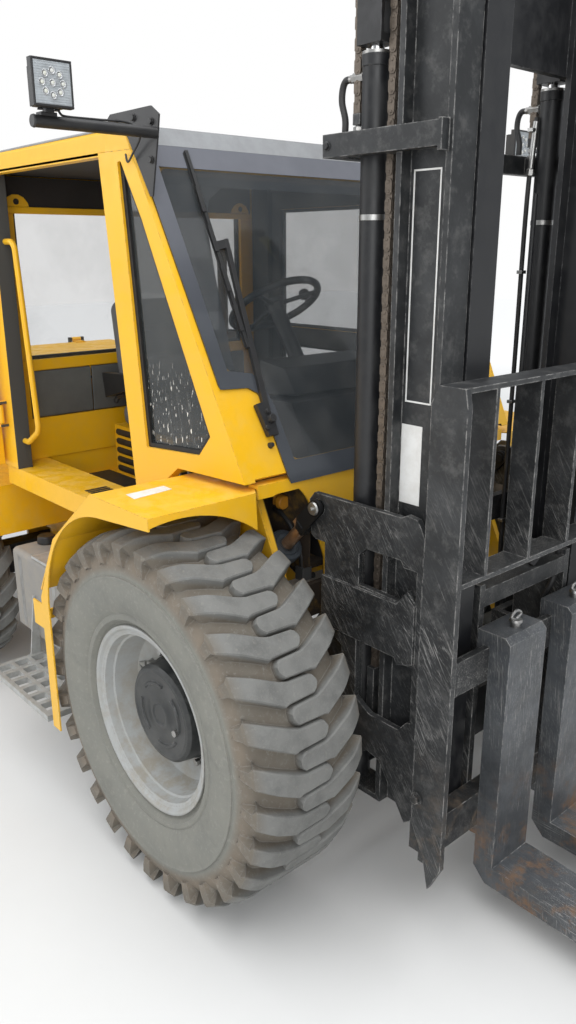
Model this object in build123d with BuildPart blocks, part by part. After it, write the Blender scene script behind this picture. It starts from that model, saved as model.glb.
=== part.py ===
from build123d import *
import math
import os

# Rough terrain forklift. X points forward, Y to the left, Z up, in millimetres.
# The origin is on the ground, at the middle of the whole machine's length and width.
# Heights below are counted from the ground under the loaded front tyres. Every finished piece is then raised
# by the depth those tyres sink under load, because the model stands on tyres of their full radius.

# Wheels
FRONT_TYRE_RADIUS = 655.0
FRONT_AXLE_Z = 615.0
GROUND_RISE = FRONT_TYRE_RADIUS - FRONT_AXLE_Z
FRONT_TYRE_WIDTH = 440.0
FRONT_TRACK = 1720.0
FRONT_RIM_RADIUS = 332.0
REAR_TYRE_RADIUS = 500.0
REAR_AXLE_Z = REAR_TYRE_RADIUS - GROUND_RISE
REAR_TYRE_WIDTH = 310.0
REAR_TRACK = 1720.0
REAR_RIM_RADIUS = 235.0
KINGPIN_SPACING = 1300.0
LUG_HEIGHT = 36.0
FRONT_LUGS = 29
REAR_LUGS = 20
LUG_ROOT = 12.0
SHOULDER_DROP = 30.0
SHOULDER_SHARE = 0.30
BEAD_DEPTH = 28.0
BEAD_SHARE = 0.39
SEAT_GAP = 0.3
RIM_WALL = 9.0
HUB_BORE = 60.0
FRONT_DISC = 30.0
REAR_DISC = 20.0

# Whole machine
WHEELBASE = 2250.0
REAR_OVERHANG = 900.0
FORK_FACE_REACH = 890.0
FORK_LENGTH = 1220.0
FORK_REACH = FORK_FACE_REACH + FORK_LENGTH
FRONT_AXLE_X = (WHEELBASE + REAR_OVERHANG - FORK_REACH) / 2
REAR_AXLE_X = FRONT_AXLE_X - WHEELBASE
REAR_END_X = REAR_AXLE_X - REAR_OVERHANG

# Chassis
NOSE_PLATE_OUT = 600.0
NOSE_PLATE_THICK = 25.0
RAIL_OUT = 355.0
RAIL_THICK = 25.0
CHASSIS_TOP = 1030.0
RAIL_BOTTOM = 620.0
PIVOT_PIN_RADIUS = 30.0
PIN_GAP = 0.3
TRUNNION_RADIUS = 35.0
KINGPIN_RADIUS = 22.0
HITCH_PIN_RADIUS = 20.0
CW_BOTTOM = 520.0
CW_TOP = 1130.0
CW_HALF = 950.0
TANK_BOTTOM = 400.0
TANK_TOP = 800.0
TANK_FRONT = 690.0
DECK_TOP = 1046.0
HOOD_TOP = 1560.0
HOOD_SPLIT = 1256.0
HOOD_HINGE_Z = 1577.0
GRILLE_SLOTS = 7

# Cab
CAB_HALF_WIDTH = 790.0
HEADER_Z = 2440.0
ROOF_TOP = HEADER_Z + 70.0
LAMP_Y = 1126.0
POST_WIDE = 70.0
FLOOR_TOP = 1050.0
SILL_TOP = 1170.0
COWL_TOP = 1410.0
COWL_HALF = 672.0
COWL_SHEET = 10.0
TUB_HALF_WIDTH = 590.0
WELL_HALF_WIDTH = 430.0
SHEET = 5.0
GLASS = 6.0
SIDE_PANES = ((1250.0, 1640.0), (1730.0, HEADER_Z - 110.0))
POST_FOOT = 72.0
POST_LEAN = 0.0905
SCREEN_REACH = 160.0
SCREEN_SLOPE = 0.479
SCREEN_FOOT_Z = 1400.0
PANE_TOP = ROOF_TOP + 5.0
DOOR_LAP = 20.0
WINDOW_INSET = 60.0
POST_SKEW = 10.0
CAB_REAR_X = FRONT_AXLE_X - 1620.0
DOOR_POST_X = FRONT_AXLE_X - 470.0
REAR_POST_X = FRONT_AXLE_X - 1430.0

# Front fender
FENDER_TOP = 1385.0
FENDER_OUT = 1105.0
FENDER_IN = 606.0
FENDER_SHEET = 6.0
APRON_IN = 698.0
STRIP_TOP_X = 50.0

# Mast, with X offsets from the front axle
MAST_TOP = 3040.0
MAST_FOOT = 340.0
OUTER_RAIL_FRONT = 742.0
INNER_RAIL_FRONT = 748.0
RAIL_DEPTH = 188.0
OUTER_RAIL_OUT = 500.0
OUTER_RAIL_WIDTH = 100.0
INNER_RAIL_WIDTH = 110.0
FLANGE = 20.0
WEB = 20.0
RAIL_GAP = 5.0
SIDE_PLATE = 20.0
INNER_OUT = OUTER_RAIL_OUT - OUTER_RAIL_WIDTH - RAIL_GAP
OUTER_WEB_Y = OUTER_RAIL_OUT - OUTER_RAIL_WIDTH / 2
INNER_WEB_Y = INNER_OUT - INNER_RAIL_WIDTH / 2
ROLLER_RADIUS = 69.0
OUTER_ROLLER_X = OUTER_RAIL_FRONT - RAIL_DEPTH / 2
INNER_ROLLER_X = INNER_RAIL_FRONT - RAIL_DEPTH / 2
OUTER_ROLLER_END = OUTER_WEB_Y - WEB / 2 - RAIL_GAP
INNER_ROLLER_END = INNER_WEB_Y - WEB / 2 - RAIL_GAP
TIE_LOW = MAST_TOP - 660.0
TIE_HIGH = MAST_TOP - 598.0
TIE_OUT = 530.0
LIFT_CYLINDER_X = 420.0
LIFT_CYLINDER_Y = 440.0
LIFT_BARREL_RADIUS = 40.0
LIFT_ROD_RADIUS = 20.0
LIFT_BARREL_TOP = MAST_TOP - 400.0
SHEAVE_BOX_BOTTOM = MAST_TOP - 376.0
SHEAVE_BOX_TOP = MAST_TOP - 110.0
SHEAVE_RADIUS = 65.0
SHEAVE_Z = MAST_TOP - 190.0
CHAIN_THICK = 28.0
CHAIN_WIDTH = 26.0
CHAIN_ANCHOR_Z = 800.0
CHAIN_REAR_ANCHOR_Z = MAST_TOP - 540.0
CHAIN_REAR_X = LIFT_CYLINDER_X - SHEAVE_RADIUS
CHAIN_FRONT_X = LIFT_CYLINDER_X + SHEAVE_RADIUS
MAST_PIVOT = (400.0, 500.0)
TILT_PIN = (285.0, 1325.0)
TILT_REAR_PIN = (-215.0, 805.0)
TILT_CYLINDER_Y = 510.0
TILT_BARREL_RADIUS = 47.0
TILT_GLAND = 7.0
TILT_ROD_RADIUS = 22.0
TILT_BARREL_LENGTH = 474.0
TILT_ROD_START = 220.0
TILT_FORK_START = 124.0
TILT_FORK_END = 100.0
TILT_PIN_RADIUS = 18.0
TILT_HOLE_RADIUS = 27.0
CARRIAGE_PLATE_IN = 235.0
CARRIAGE_PLATE = 25.0

# Carriage and forks
BAR_BACK = 755.0
FORK_THICK = 75.0
FORK_WIDTH = 200.0
FORK_CENTRE_Y = 178.0
FORK_TOP = 985.0
FORK_BOTTOM = 65.0
BAR_FRONT = FORK_FACE_REACH - FORK_THICK
BAR_HALF_WIDTH = 555.0
BACKREST_TOP = 1790.0
BACKREST_BAR_LOW = 1225.0
HOOK_PLAY = 2.0
UPPER_BAR_BOTTOM = 820.0
UPPER_BAR_TOP = 905.0
UPPER_LIP_TOP = 935.0
LOWER_BAR_BOTTOM = 300.0
LOWER_BAR_TOP = 400.0
LOWER_LIP_BOTTOM = 270.0
LOWER_HOOK_LOW = 235.0
LOWER_TOOTH_TOP = 297.0
LIP_X = 793.0
HOOK_BACK = 768.0

AX = FRONT_AXLE_X
SIDES = (-1, 1)
COWL_X = AX + 180.0
HOOD_REAR_X = AX - 2865.0
SCREEN_FOOT = Vector(AX + SCREEN_REACH, 0, SCREEN_FOOT_Z)
SCREEN_HEAD = Vector(SCREEN_FOOT.X - SCREEN_SLOPE * (HEADER_Z - SCREEN_FOOT_Z), 0, HEADER_Z)
SCREEN_LENGTH = (SCREEN_HEAD - SCREEN_FOOT).length
PANE_LENGTH = SCREEN_LENGTH * (PANE_TOP - SCREEN_FOOT_Z) / (HEADER_Z - SCREEN_FOOT_Z)
SCREEN = Plane(origin=SCREEN_FOOT, x_dir=(0, 1, 0), z_dir=(SCREEN_HEAD - SCREEN_FOOT).cross(Vector(0, -1,
    0)))
QUARTER_RUN = Vector(600.0, 65.0, 0)
DOOR_HINGE_X = AX - 1500.0
DOOR_HINGE_Y = -815.0
DOOR_OPEN_ANGLE = 170.0
DOOR_HINGE_HEIGHTS = (1420.0, 2200.0)
HOOD_FRONT_X = AX - 1665.0
HOOD_HALF = 590.0


def side_plane(y):
    """A plane seen from the right: local x is forward and local y is up."""
    return Plane(origin=(0, y, 0), x_dir=(1, 0, 0), z_dir=(0, -1, 0))


def front_plane(x):
    """A plane that faces forward: local x is to the left and local y is up."""
    return Plane(origin=(x, 0, 0), x_dir=(0, 1, 0), z_dir=(1, 0, 0))


def plate(plane, outline, thickness, mode=Mode.ADD):
    """A flat plate with straight edges, extruded along the plane's normal."""
    with BuildSketch(plane) as profile:
        with BuildLine():
            Polyline(*outline, close=True)
        make_face()
    extrude(profile.sketch, amount=thickness, mode=mode)


def block(x, y, z, mode=Mode.ADD):
    """A rectangular piece between two values on each axis."""
    with Locations(((x[0] + x[1]) / 2, (y[0] + y[1]) / 2, (z[0] + z[1]) / 2)):
        Box(x[1] - x[0], y[1] - y[0], z[1] - z[0], mode=mode)


def bar(start, end, radius, mode=Mode.ADD):
    """A round bar between two points."""
    a = Vector(*start)
    b = Vector(*end)
    with BuildSketch(Plane(origin=a, z_dir=b - a)) as profile:
        Circle(radius)
    extrude(profile.sketch, amount=(b - a).length, mode=mode)


def bent_tube(points, bend, radius):
    """A round tube along straight runs joined by arcs."""
    with BuildLine() as path:
        FilletPolyline(*points, radius=bend)
    with BuildSketch(path.line ^ 0) as profile:
        Circle(radius)
    sweep(profile.sketch, path=path.line)


def finish(piece, label):
    """Raise a finished piece to its place above the ground, name it and write it to its own file."""
    raised = piece.part.moved(Location((0, 0, GROUND_RISE)))
    raised.label = label
    export_step(raised, f"parts/{label}.step")


os.makedirs("parts", exist_ok=True)


def wheel_plane(x, side, y, z):
    """The wheel's middle plane, with its normal pointing outboard."""
    return Plane(origin=(x, side * y, z), x_dir=(1, 0, 0), z_dir=(0, side, 0))


def turned(sketch):
    """Revolve a section drawn in the XZ plane about the axle, which is Z."""
    revolve(sketch, axis=Axis.Z)


def lug_shape(radius, half, root, pitch):
    """One chevron lug of the upper half of the tread, standing on the X axis."""
    outline = (
        (half, 0.58 * pitch), (0.30 * half, 0.0), (-0.10 * half, 0.0), (-0.27 * half, 0.24 * pitch),
        (-0.08 * half, 0.36 * pitch), (0.18 * half, 0.37 * pitch), (half, 0.90 * pitch),
    )
    middle = 0.45 * pitch
    crest = math.sqrt(radius ** 2 - middle ** 2)
    with BuildPart() as lug:
        crown = Plane(origin=(root, 0, 0), x_dir=(0, 0, 1), z_dir=(1, 0, 0))
        plate(crown, [(across, middle - along) for across, along in outline], crest - root)
        shoulder = half * (1 - SHOULDER_SHARE)
        plate(
            Plane(origin=(0, pitch, 0), x_dir=(1, 0, 0), z_dir=(0, -1, 0)),
            ((crest, shoulder), (crest - SHOULDER_DROP, half), (crest + 1, half + 1),
             (crest + 1, shoulder)),
            2 * pitch, Mode.SUBTRACT,
        )
    return lug.part


def tyre_shape(radius, width, rim_radius, lugs):
    """A tractor tyre about Z: a round carcass with a ring of chevron lugs from each shoulder."""
    half = width / 2
    base = radius - LUG_HEIGHT
    seat = rim_radius - BEAD_DEPTH
    seat_half = BEAD_SHARE * width
    belly = rim_radius + 0.42 * (base - rim_radius)
    lug = lug_shape(radius, half, base - LUG_ROOT, 2 * math.pi * radius / lugs)
    with BuildPart() as tyre:
        with BuildSketch(Plane.XZ) as carcass:
            with BuildLine():
                Polyline(
                    (seat, -seat_half), (rim_radius + 14.0, -seat_half), (belly, -half),
                    (base - 60.0, -half + 14.0),
                    (base, -half + 62.0), (base, half - 62.0), (base - 60.0, half - 14.0), (belly, half),
                    (rim_radius + 14.0, seat_half), (seat, seat_half), close=True,
                )
            make_face()
        turned(carcass.sketch)
        with PolarLocations(0, lugs):
            add(lug)
        with PolarLocations(0, lugs, start_angle=180 / lugs):
            add(lug.mirror(Plane.XY))
    return tyre.part


def rim_shape(rim_radius, width, disc_offset, hub_radius, hub_out):
    """A dished steel rim about Z, with its disc and hub."""
    seat = rim_radius - BEAD_DEPTH - SEAT_GAP
    lip = BEAD_SHARE * width - SEAT_GAP
    well = seat - RIM_WALL
    with BuildPart() as rim:
        with BuildSketch(Plane.XZ) as barrel:
            with BuildLine():
                Polyline((well, -lip), (seat, -lip), (seat, lip), (well, lip), close=True)
            make_face()
            with BuildLine():
                Polyline(
                    (HUB_BORE, disc_offset - RIM_WALL), (0.55 * seat, disc_offset - RIM_WALL),
                    (well, disc_offset - 40.0),
                    (well, disc_offset - 15.0), (0.57 * seat, disc_offset + RIM_WALL),
                    (HUB_BORE, disc_offset + RIM_WALL),
                    close=True,
                )
            make_face()
            for end in SIDES:
                with BuildLine():
                    Polyline(
                        (well, end * lip), (well, end * (lip + 14.0)), (rim_radius, end * (lip + 14.0)),
                        (rim_radius, end * (lip + 6.0)), (seat, end * (lip + 2.0)), (seat, end * lip),
                        close=True,
                    )
                make_face()
        turned(barrel.sketch)
        with BuildSketch(Plane.XY.offset(disc_offset - RIM_WALL)) as hub:
            Circle(hub_radius)
        extrude(hub.sketch, amount=hub_out, taper=4)
    return rim.part


WHEELS = (
    # name, axle x, axle height, track, tyre radius, tyre width, rim radius, lugs,
    # disc offset, hub radius, hub reach
    ("front", AX, FRONT_AXLE_Z, FRONT_TRACK, FRONT_TYRE_RADIUS, FRONT_TYRE_WIDTH, FRONT_RIM_RADIUS,
     FRONT_LUGS, FRONT_DISC, 160.0, 110.0),
    ("rear", REAR_AXLE_X, REAR_AXLE_Z, REAR_TRACK, REAR_TYRE_RADIUS, REAR_TYRE_WIDTH, REAR_RIM_RADIUS,
     REAR_LUGS, REAR_DISC, 90.0, 70.0),
)
FRONT_HUB_FACE = FRONT_TRACK / 2 + FRONT_DISC - RIM_WALL - SEAT_GAP
REAR_HUB_FACE = REAR_TRACK / 2 + REAR_DISC - RIM_WALL - SEAT_GAP
for name, x, z, track, radius, width, rim_radius, lugs, disc_offset, hub_radius, hub_out in WHEELS:
    tyre_solid = tyre_shape(radius, width, rim_radius, lugs)
    rim_solid = rim_shape(rim_radius, width, disc_offset, hub_radius, hub_out)
    for side, word in ((-1, "right"), (1, "left")):
        with BuildPart(Plane(origin=(x, side * track / 2, z), x_dir=(1, 0, 0), z_dir=(0, -1, 0))) as tyre:
            add(tyre_solid)
        finish(tyre, f"tyre_{name}_{word}")
        with BuildPart(wheel_plane(x, side, track / 2, z)) as rim:
            add(rim_solid)
        finish(rim, f"rim_{name}_{word}")


def from_axle(points):
    """Shift side-view points from the front axle's own line to the model's frame."""
    return [(AX + x, z) for x, z in points]


def both_sides():
    """Copy what a part holds so far to the other side."""
    mirror(about=Plane.XZ)


# Chassis frame
with BuildPart() as chassis_frame:
    nose = from_axle((
        (-620, 620), (-620, CHASSIS_TOP), (-110, CHASSIS_TOP), (-110, 1330), (63, 1330), (330, 760),
        (455, 560),
        (455, 470), (430, 445), (370, 445), (330, 500), (170, 722), (-150, 722), (-300, 620),
    ))
    plate(side_plane(-NOSE_PLATE_OUT + NOSE_PLATE_THICK), nose, NOSE_PLATE_THICK)
    pivot = (AX + MAST_PIVOT[0], MAST_PIVOT[1])
    bar((pivot[0], -NOSE_PLATE_OUT - 1, pivot[1]), (pivot[0], -NOSE_PLATE_OUT + NOSE_PLATE_THICK + 1,
        pivot[1]),
        PIVOT_PIN_RADIUS + PIN_GAP, Mode.SUBTRACT)
    block((REAR_END_X + 255, AX - 600), (-RAIL_OUT, -RAIL_OUT + RAIL_THICK), (RAIL_BOTTOM, 1000))
    both_sides()
    block((AX - 620, AX - 600), (-NOSE_PLATE_OUT, NOSE_PLATE_OUT), (620, CHASSIS_TOP))
    block((AX + 125, AX + 150), (-NOSE_PLATE_OUT, NOSE_PLATE_OUT), (860, 985))
    for x in (AX - 1640, REAR_END_X + 255):
        block((x, x + 20), (-RAIL_OUT, RAIL_OUT), (RAIL_BOTTOM, 1000))
    for end in SIDES:
        x = REAR_AXLE_X + end * 165
        block((x - 12, x + 12), (-RAIL_OUT, RAIL_OUT), (385, 700))
    bar((REAR_AXLE_X - 180, 0, REAR_AXLE_Z), (REAR_AXLE_X + 180, 0, REAR_AXLE_Z), TRUNNION_RADIUS + 0.05,
        Mode.SUBTRACT)
    for end in SIDES:
        for offset_y in (-38, 38):
            plate(side_plane(end * TILT_CYLINDER_Y + offset_y + 7.5), from_axle((
                (-290, 722), (-262, 830), (-235, 847), (-195, 847), (-172, 820), (-160, 722),
            )), 15)
        block((AX - 300, AX - 160), (end * 520 - 56, end * 520 + 56), (722, 742))
        pin = (AX + TILT_REAR_PIN[0], TILT_REAR_PIN[1])
        bar((pin[0], end * TILT_CYLINDER_Y - 50, pin[1]), (pin[0], end * TILT_CYLINDER_Y + 50, pin[1]),
            TILT_PIN_RADIUS)
finish(chassis_frame, "chassis_frame")

# Counterweight with its tow hitch
with BuildPart() as counterweight:
    with BuildSketch(Plane.XY.offset(CW_BOTTOM)) as footprint:
        with BuildLine():
            Polyline(
                (REAR_END_X + 254.7, -CW_HALF), (REAR_END_X + 110, -CW_HALF), (REAR_END_X, -CW_HALF + 230),
                (REAR_END_X, CW_HALF - 230), (REAR_END_X + 110, CW_HALF), (REAR_END_X + 254.7, CW_HALF),
                close=True,
            )
        make_face()
    extrude(footprint.sketch, amount=CW_TOP - CW_BOTTOM)
    fillet(counterweight.edges().filter_by(Axis.Z), 40)
    fillet(counterweight.faces().sort_by(Axis.Z)[-1].edges(), 30)
    block((REAR_END_X - 1, REAR_END_X + 130), (-90, 90), (600, 740), Mode.SUBTRACT)
    bar((REAR_END_X + 75, 0, 560), (REAR_END_X + 75, 0, CW_TOP + 1), HITCH_PIN_RADIUS, Mode.SUBTRACT)
finish(counterweight, "counterweight")

# Engine, radiator grille and exhaust
with BuildPart() as engine_block:
    block((AX - 2350, AX - 1750), (-280, 280), (700, 1220))
finish(engine_block, "engine_block")

with BuildPart() as radiator_grille:
    block((HOOD_REAR_X - 20, HOOD_REAR_X), (-588, 588), (DECK_TOP, HOOD_TOP - 12))
    for row in range(GRILLE_SLOTS):
        z = CW_TOP + 60 + row * 45
        block((HOOD_REAR_X - 21, HOOD_REAR_X + 1), (-480, 480), (z, z + 26), Mode.SUBTRACT)
    for end in SIDES:
        for y in (end * 300 - 44, end * 300 + 44):
            block((HOOD_REAR_X - 20, HOOD_REAR_X - 0), (y - 8, y + 8), (HOOD_TOP - 12, HOOD_HINGE_Z + 12))
        bar((HOOD_REAR_X - 10, end * 300 - 50, HOOD_HINGE_Z),
            (HOOD_REAR_X - 10, end * 300 + 50, HOOD_HINGE_Z), 6)
finish(radiator_grille, "radiator_grille")

with BuildPart() as exhaust:
    bar((AX - 1800, 690, DECK_TOP), (AX - 1800, 690, 1180), 32)
    bar((AX - 1800, 690, 1180), (AX - 1800, 690, 1680), 75)
    bar((AX - 1800, 690, 1680), (AX - 1800, 690, 2150), 28)
finish(exhaust, "exhaust")

# Axles
with BuildPart() as front_axle:
    with BuildSketch(Plane.YZ.offset(AX)) as housing:
        with BuildLine():
            Polyline(
                (0, FRONT_AXLE_Z), (0, FRONT_AXLE_Z + 185), (110, FRONT_AXLE_Z + 150),
                (250, FRONT_AXLE_Z + 80), (680, FRONT_AXLE_Z + 80), (690, FRONT_AXLE_Z + 150),
                (800, FRONT_AXLE_Z + 150), (810, FRONT_AXLE_Z + 90),
                (FRONT_HUB_FACE, FRONT_AXLE_Z + 80), (FRONT_HUB_FACE, FRONT_AXLE_Z), close=True,
            )
        make_face()
    revolve(housing.sketch, axis=Axis((AX, 0, FRONT_AXLE_Z), (0, 1, 0)))
    both_sides()
    for end in SIDES:
        block((AX - 120, AX + 120), (end * 560 - 40, end * 560 + 40), (FRONT_AXLE_Z, 722))
finish(front_axle, "front_axle")

with BuildPart() as rear_axle:
    block((REAR_AXLE_X - 70, REAR_AXLE_X + 70), (-585, 585), (REAR_AXLE_Z - 55, REAR_AXLE_Z + 55))
    for z in (REAR_AXLE_Z - 85, REAR_AXLE_Z + 60):
        block((REAR_AXLE_X - 55, REAR_AXLE_X + 55), (-KINGPIN_SPACING / 2 - 50, KINGPIN_SPACING / 2 + 50),
              (z, z + 25))
    bar((REAR_AXLE_X - 190, 0, REAR_AXLE_Z), (REAR_AXLE_X + 190, 0, REAR_AXLE_Z), TRUNNION_RADIUS)
    block((REAR_AXLE_X - 153, REAR_AXLE_X + 153), (-60, 60), (REAR_AXLE_Z - 50, REAR_AXLE_Z + 50))
    for end in SIDES:
        y = end * KINGPIN_SPACING / 2
        bar((REAR_AXLE_X, y, 300), (REAR_AXLE_X, y, 700), KINGPIN_RADIUS + PIN_GAP, Mode.SUBTRACT)
    for z in (REAR_AXLE_Z - 60, REAR_AXLE_Z + 55):
        block((REAR_AXLE_X - 55, REAR_AXLE_X + 55), (-585, 585), (z, z + 5))
    bar((REAR_AXLE_X - 100, -230, REAR_AXLE_Z - 20), (REAR_AXLE_X - 100, 230, REAR_AXLE_Z - 20), 38)
finish(rear_axle, "rear_axle")

for end, word in ((-1, "right"), (1, "left")):
    with BuildPart() as knuckle:
        y = end * KINGPIN_SPACING / 2
        z = REAR_AXLE_Z
        bar((REAR_AXLE_X, y, z - 52), (REAR_AXLE_X, y, z + 52), 48)
        bar((REAR_AXLE_X, y, z - 88), (REAR_AXLE_X, y, z + 88), KINGPIN_RADIUS)
        bar((REAR_AXLE_X, y + end * 20, z), (REAR_AXLE_X, end * REAR_HUB_FACE, z), 40)
    finish(knuckle, f"rear_knuckle_{word}")

# Side tanks and steps
with BuildPart() as side_tanks:
    block((AX - 1450, AX - TANK_FRONT), (-850, -RAIL_OUT), (TANK_BOTTOM, TANK_TOP))
    fillet(side_tanks.edges().filter_by(Axis.X), 25)
    both_sides()
finish(side_tanks, "side_tanks")

with BuildPart() as steps:
    block((AX - 1250, AX - TANK_FRONT), (-1090, -830), (310, 336))
    for column in range(6):
        for row in range(3):
            x = AX - 1225 + column * 86
            y = -1070 + row * 80
            block((x, x + 62), (y, y + 60), (309, 337), Mode.SUBTRACT)
    for x in (AX - 1250, AX - TANK_FRONT - 8):
        plate(front_plane(x), ((-850, 336), (-850, 620), (-862, 620), (-900, 336)), 8)
    block((AX - 1250, AX - TANK_FRONT), (-850, -640), (TANK_TOP, TANK_TOP + 12))
finish(steps, "steps")

# Fenders
with BuildPart() as fenders:
    top = FENDER_TOP
    with BuildSketch(Plane.XY.offset(top - FENDER_SHEET)) as lid:
        with BuildLine():
            Polyline(
                (AX - 165, -FENDER_OUT), (COWL_X, -FENDER_OUT), (COWL_X, -APRON_IN),
                (AX + STRIP_TOP_X, -FENDER_IN),
                (AX - 165, -FENDER_IN), close=True,
            )
        make_face()
    extrude(lid.sketch, amount=FENDER_SHEET)
    with BuildSketch(side_plane(-FENDER_OUT + FENDER_SHEET)) as skirt:
        with BuildLine():
            Polyline(*from_axle((
                (-110, 1317), (180, 1345), (180, top), (-165, top), (-460, 1158), (-605, 890), (-605, 340),
                (-548, 340), (-548, 880),
            )))
            ThreePointArc((AX - 548, 880), (AX - 425, 1165), (AX - 110, 1317))
        make_face()
    extrude(skirt.sketch, amount=FENDER_SHEET)
    with BuildSketch(front_plane(COWL_X - FENDER_SHEET)) as apron:
        with BuildLine():
            Polyline((-FENDER_OUT, 1352), (-FENDER_OUT, top), (-APRON_IN, top), (-APRON_IN + 6, 1257))
            ThreePointArc((-APRON_IN + 6, 1257), (-843, 1338), (-FENDER_OUT, 1352))
        make_face()
    extrude(apron.sketch, amount=FENDER_SHEET)
    plate(side_plane(-FENDER_IN), from_axle((
        (204, CHASSIS_TOP), (63, 1330), (STRIP_TOP_X, top), (-165, top), (-460, 1158), (-540, CHASSIS_TOP),
    )), -FENDER_SHEET)
    slope = from_axle(((-165, top), (-460, 1158), (-600, 925), (-594, 921), (-455, 1150), (-163, top - 8)))
    plate(side_plane(-FENDER_IN), slope, FENDER_OUT - FENDER_IN)
    plate(side_plane(-FENDER_OUT + FENDER_SHEET), from_axle(((-605, 760), (-605, 860), (-680, 860),
        (-680, 760))), FENDER_SHEET)
    block((AX - 680, AX - 672), (-FENDER_OUT, -850), (760, 800))
    block((AX - 2890, AX - 1640), (-1015, -RAIL_OUT - 1), (DECK_TOP - 6, DECK_TOP))
    block((AX - 2890, AX - 1640), (-1015, -1009), (DECK_TOP - 50, DECK_TOP))
    block((AX - 1646, AX - 1640), (-1015, -RAIL_OUT), (800, DECK_TOP))
    block((HOOD_REAR_X, AX - 1640), (-590, -578), (DECK_TOP, HOOD_SPLIT - 6))
    block((AX - 1652, AX - 1640), (-590, 0), (DECK_TOP, HOOD_SPLIT - 6))
    both_sides()
finish(fenders, "fenders")


def quarter_plane(inset=0.0):
    """The plane of the right front side panel: local x runs forward along the panel from the door post."""
    run = QUARTER_RUN.normalized()
    normal = Vector(run.Y, -run.X, 0)
    return Plane(origin=Vector(DOOR_POST_X, -CAB_HALF_WIDTH, 0) - normal * inset, x_dir=run, z_dir=normal)


def quarter_opening(inset, shrink=0.0):
    """The outline of the quarter window on the side panel."""
    with BuildSketch(quarter_plane(inset)) as opening:
        with BuildLine():
            FilletPolyline(
                (61, HEADER_Z - 33), (135, 1460), (412, 1473), (471, 1545), (172, HEADER_Z - 213),
                (78, HEADER_Z - 33),
                radius=5, close=True,
            )
        make_face()
        if shrink:
            offset(amount=-shrink)
    return opening.sketch


# Cab tub with its floor, side ledges and seat base
with BuildPart() as cab_floor:
    block((AX - 1560, AX - 120), (-TUB_HALF_WIDTH, TUB_HALF_WIDTH), (CHASSIS_TOP, FLOOR_TOP))
    block((AX - 120, AX + 120), (-WELL_HALF_WIDTH, WELL_HALF_WIDTH), (CHASSIS_TOP, FLOOR_TOP))
    block((AX - 120, AX + 145), (-WELL_HALF_WIDTH, -WELL_HALF_WIDTH + SHEET), (FLOOR_TOP, 1385))
    block((AX - 120, AX + 145), (-TUB_HALF_WIDTH, -WELL_HALF_WIDTH), (1380, 1385))
    block((AX - 125, AX - 120), (-TUB_HALF_WIDTH, -WELL_HALF_WIDTH + SHEET), (FLOOR_TOP, 1385))
    block((AX - 1560, AX - 600), (-CAB_HALF_WIDTH + 5, -TUB_HALF_WIDTH + SHEET), (SILL_TOP - 6, SILL_TOP))
    block((AX - 1560, AX - 600), (-CAB_HALF_WIDTH + 5, -CAB_HALF_WIDTH + 11), (FLOOR_TOP + 30, SILL_TOP))
    block((AX - 1560, AX - 120), (-TUB_HALF_WIDTH, -TUB_HALF_WIDTH + SHEET), (FLOOR_TOP, SILL_TOP))
    block((AX - 606, AX - 600), (-CAB_HALF_WIDTH + 5, -TUB_HALF_WIDTH), (FLOOR_TOP + 30, SILL_TOP))
    both_sides()
    block((AX - 1480, AX - 960), (-250, 250), (FLOOR_TOP, 1300))
finish(cab_floor, "cab_floor")

# Cab frame: front side panels with their pillars, rear posts and headers
quarter = (
    (67, SILL_TOP + 52), (-43, HEADER_Z), (200, HEADER_Z), (750, 1500), (640, COWL_TOP), (300, COWL_TOP),
)
with BuildPart() as cab_frame:
    plate(quarter_plane(), quarter, -45)
    extrude(quarter_opening(0.0), amount=-45, mode=Mode.SUBTRACT)
    plate(SCREEN, ((-900, -200), (-900, 1500), (900, 1500), (900, -200)), 600, Mode.SUBTRACT)
    block((CAB_REAR_X + 20, REAR_POST_X), (-CAB_HALF_WIDTH, -CAB_HALF_WIDTH + POST_WIDE),
          (SILL_TOP, HEADER_Z))
    block((REAR_POST_X, DOOR_POST_X), (-CAB_HALF_WIDTH, -CAB_HALF_WIDTH + 40), (HEADER_Z - 12, HEADER_Z))
    both_sides()
    block((REAR_POST_X, DOOR_POST_X - 35), (CAB_HALF_WIDTH - 40, CAB_HALF_WIDTH), (HEADER_Z - 60, HEADER_Z))
    for z in DOOR_HINGE_HEIGHTS:
        for low in (z - 58, z + 46):
            block((DOOR_HINGE_X - 14, DOOR_HINGE_X + 14), (DOOR_HINGE_Y - 12, -CAB_HALF_WIDTH),
                  (low, low + 12))
        bar((DOOR_HINGE_X, DOOR_HINGE_Y, z - 58), (DOOR_HINGE_X, DOOR_HINGE_Y, z + 58), 6)
    plate(SCREEN, ((-700, 22), (-745, SCREEN_LENGTH - 5), (745, SCREEN_LENGTH - 5), (700, 22)), -40)
    with BuildSketch(SCREEN) as opening:
        with BuildLine():
            FilletPolyline(
                (-495, 60), (-510, 250), (-560, 372), (-660, 390), (-690, SCREEN_LENGTH - 60),
                (690, SCREEN_LENGTH - 60),
                (660, 390), (560, 372), (510, 250), (495, 60), radius=30, close=True,
            )
        make_face()
    extrude(opening.sketch, amount=-40, mode=Mode.SUBTRACT)
    block((AX - 600, AX), (-CAB_HALF_WIDTH, CAB_HALF_WIDTH), (HEADER_Z, ROOF_TOP), Mode.SUBTRACT)
finish(cab_frame, "cab_frame")

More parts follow.
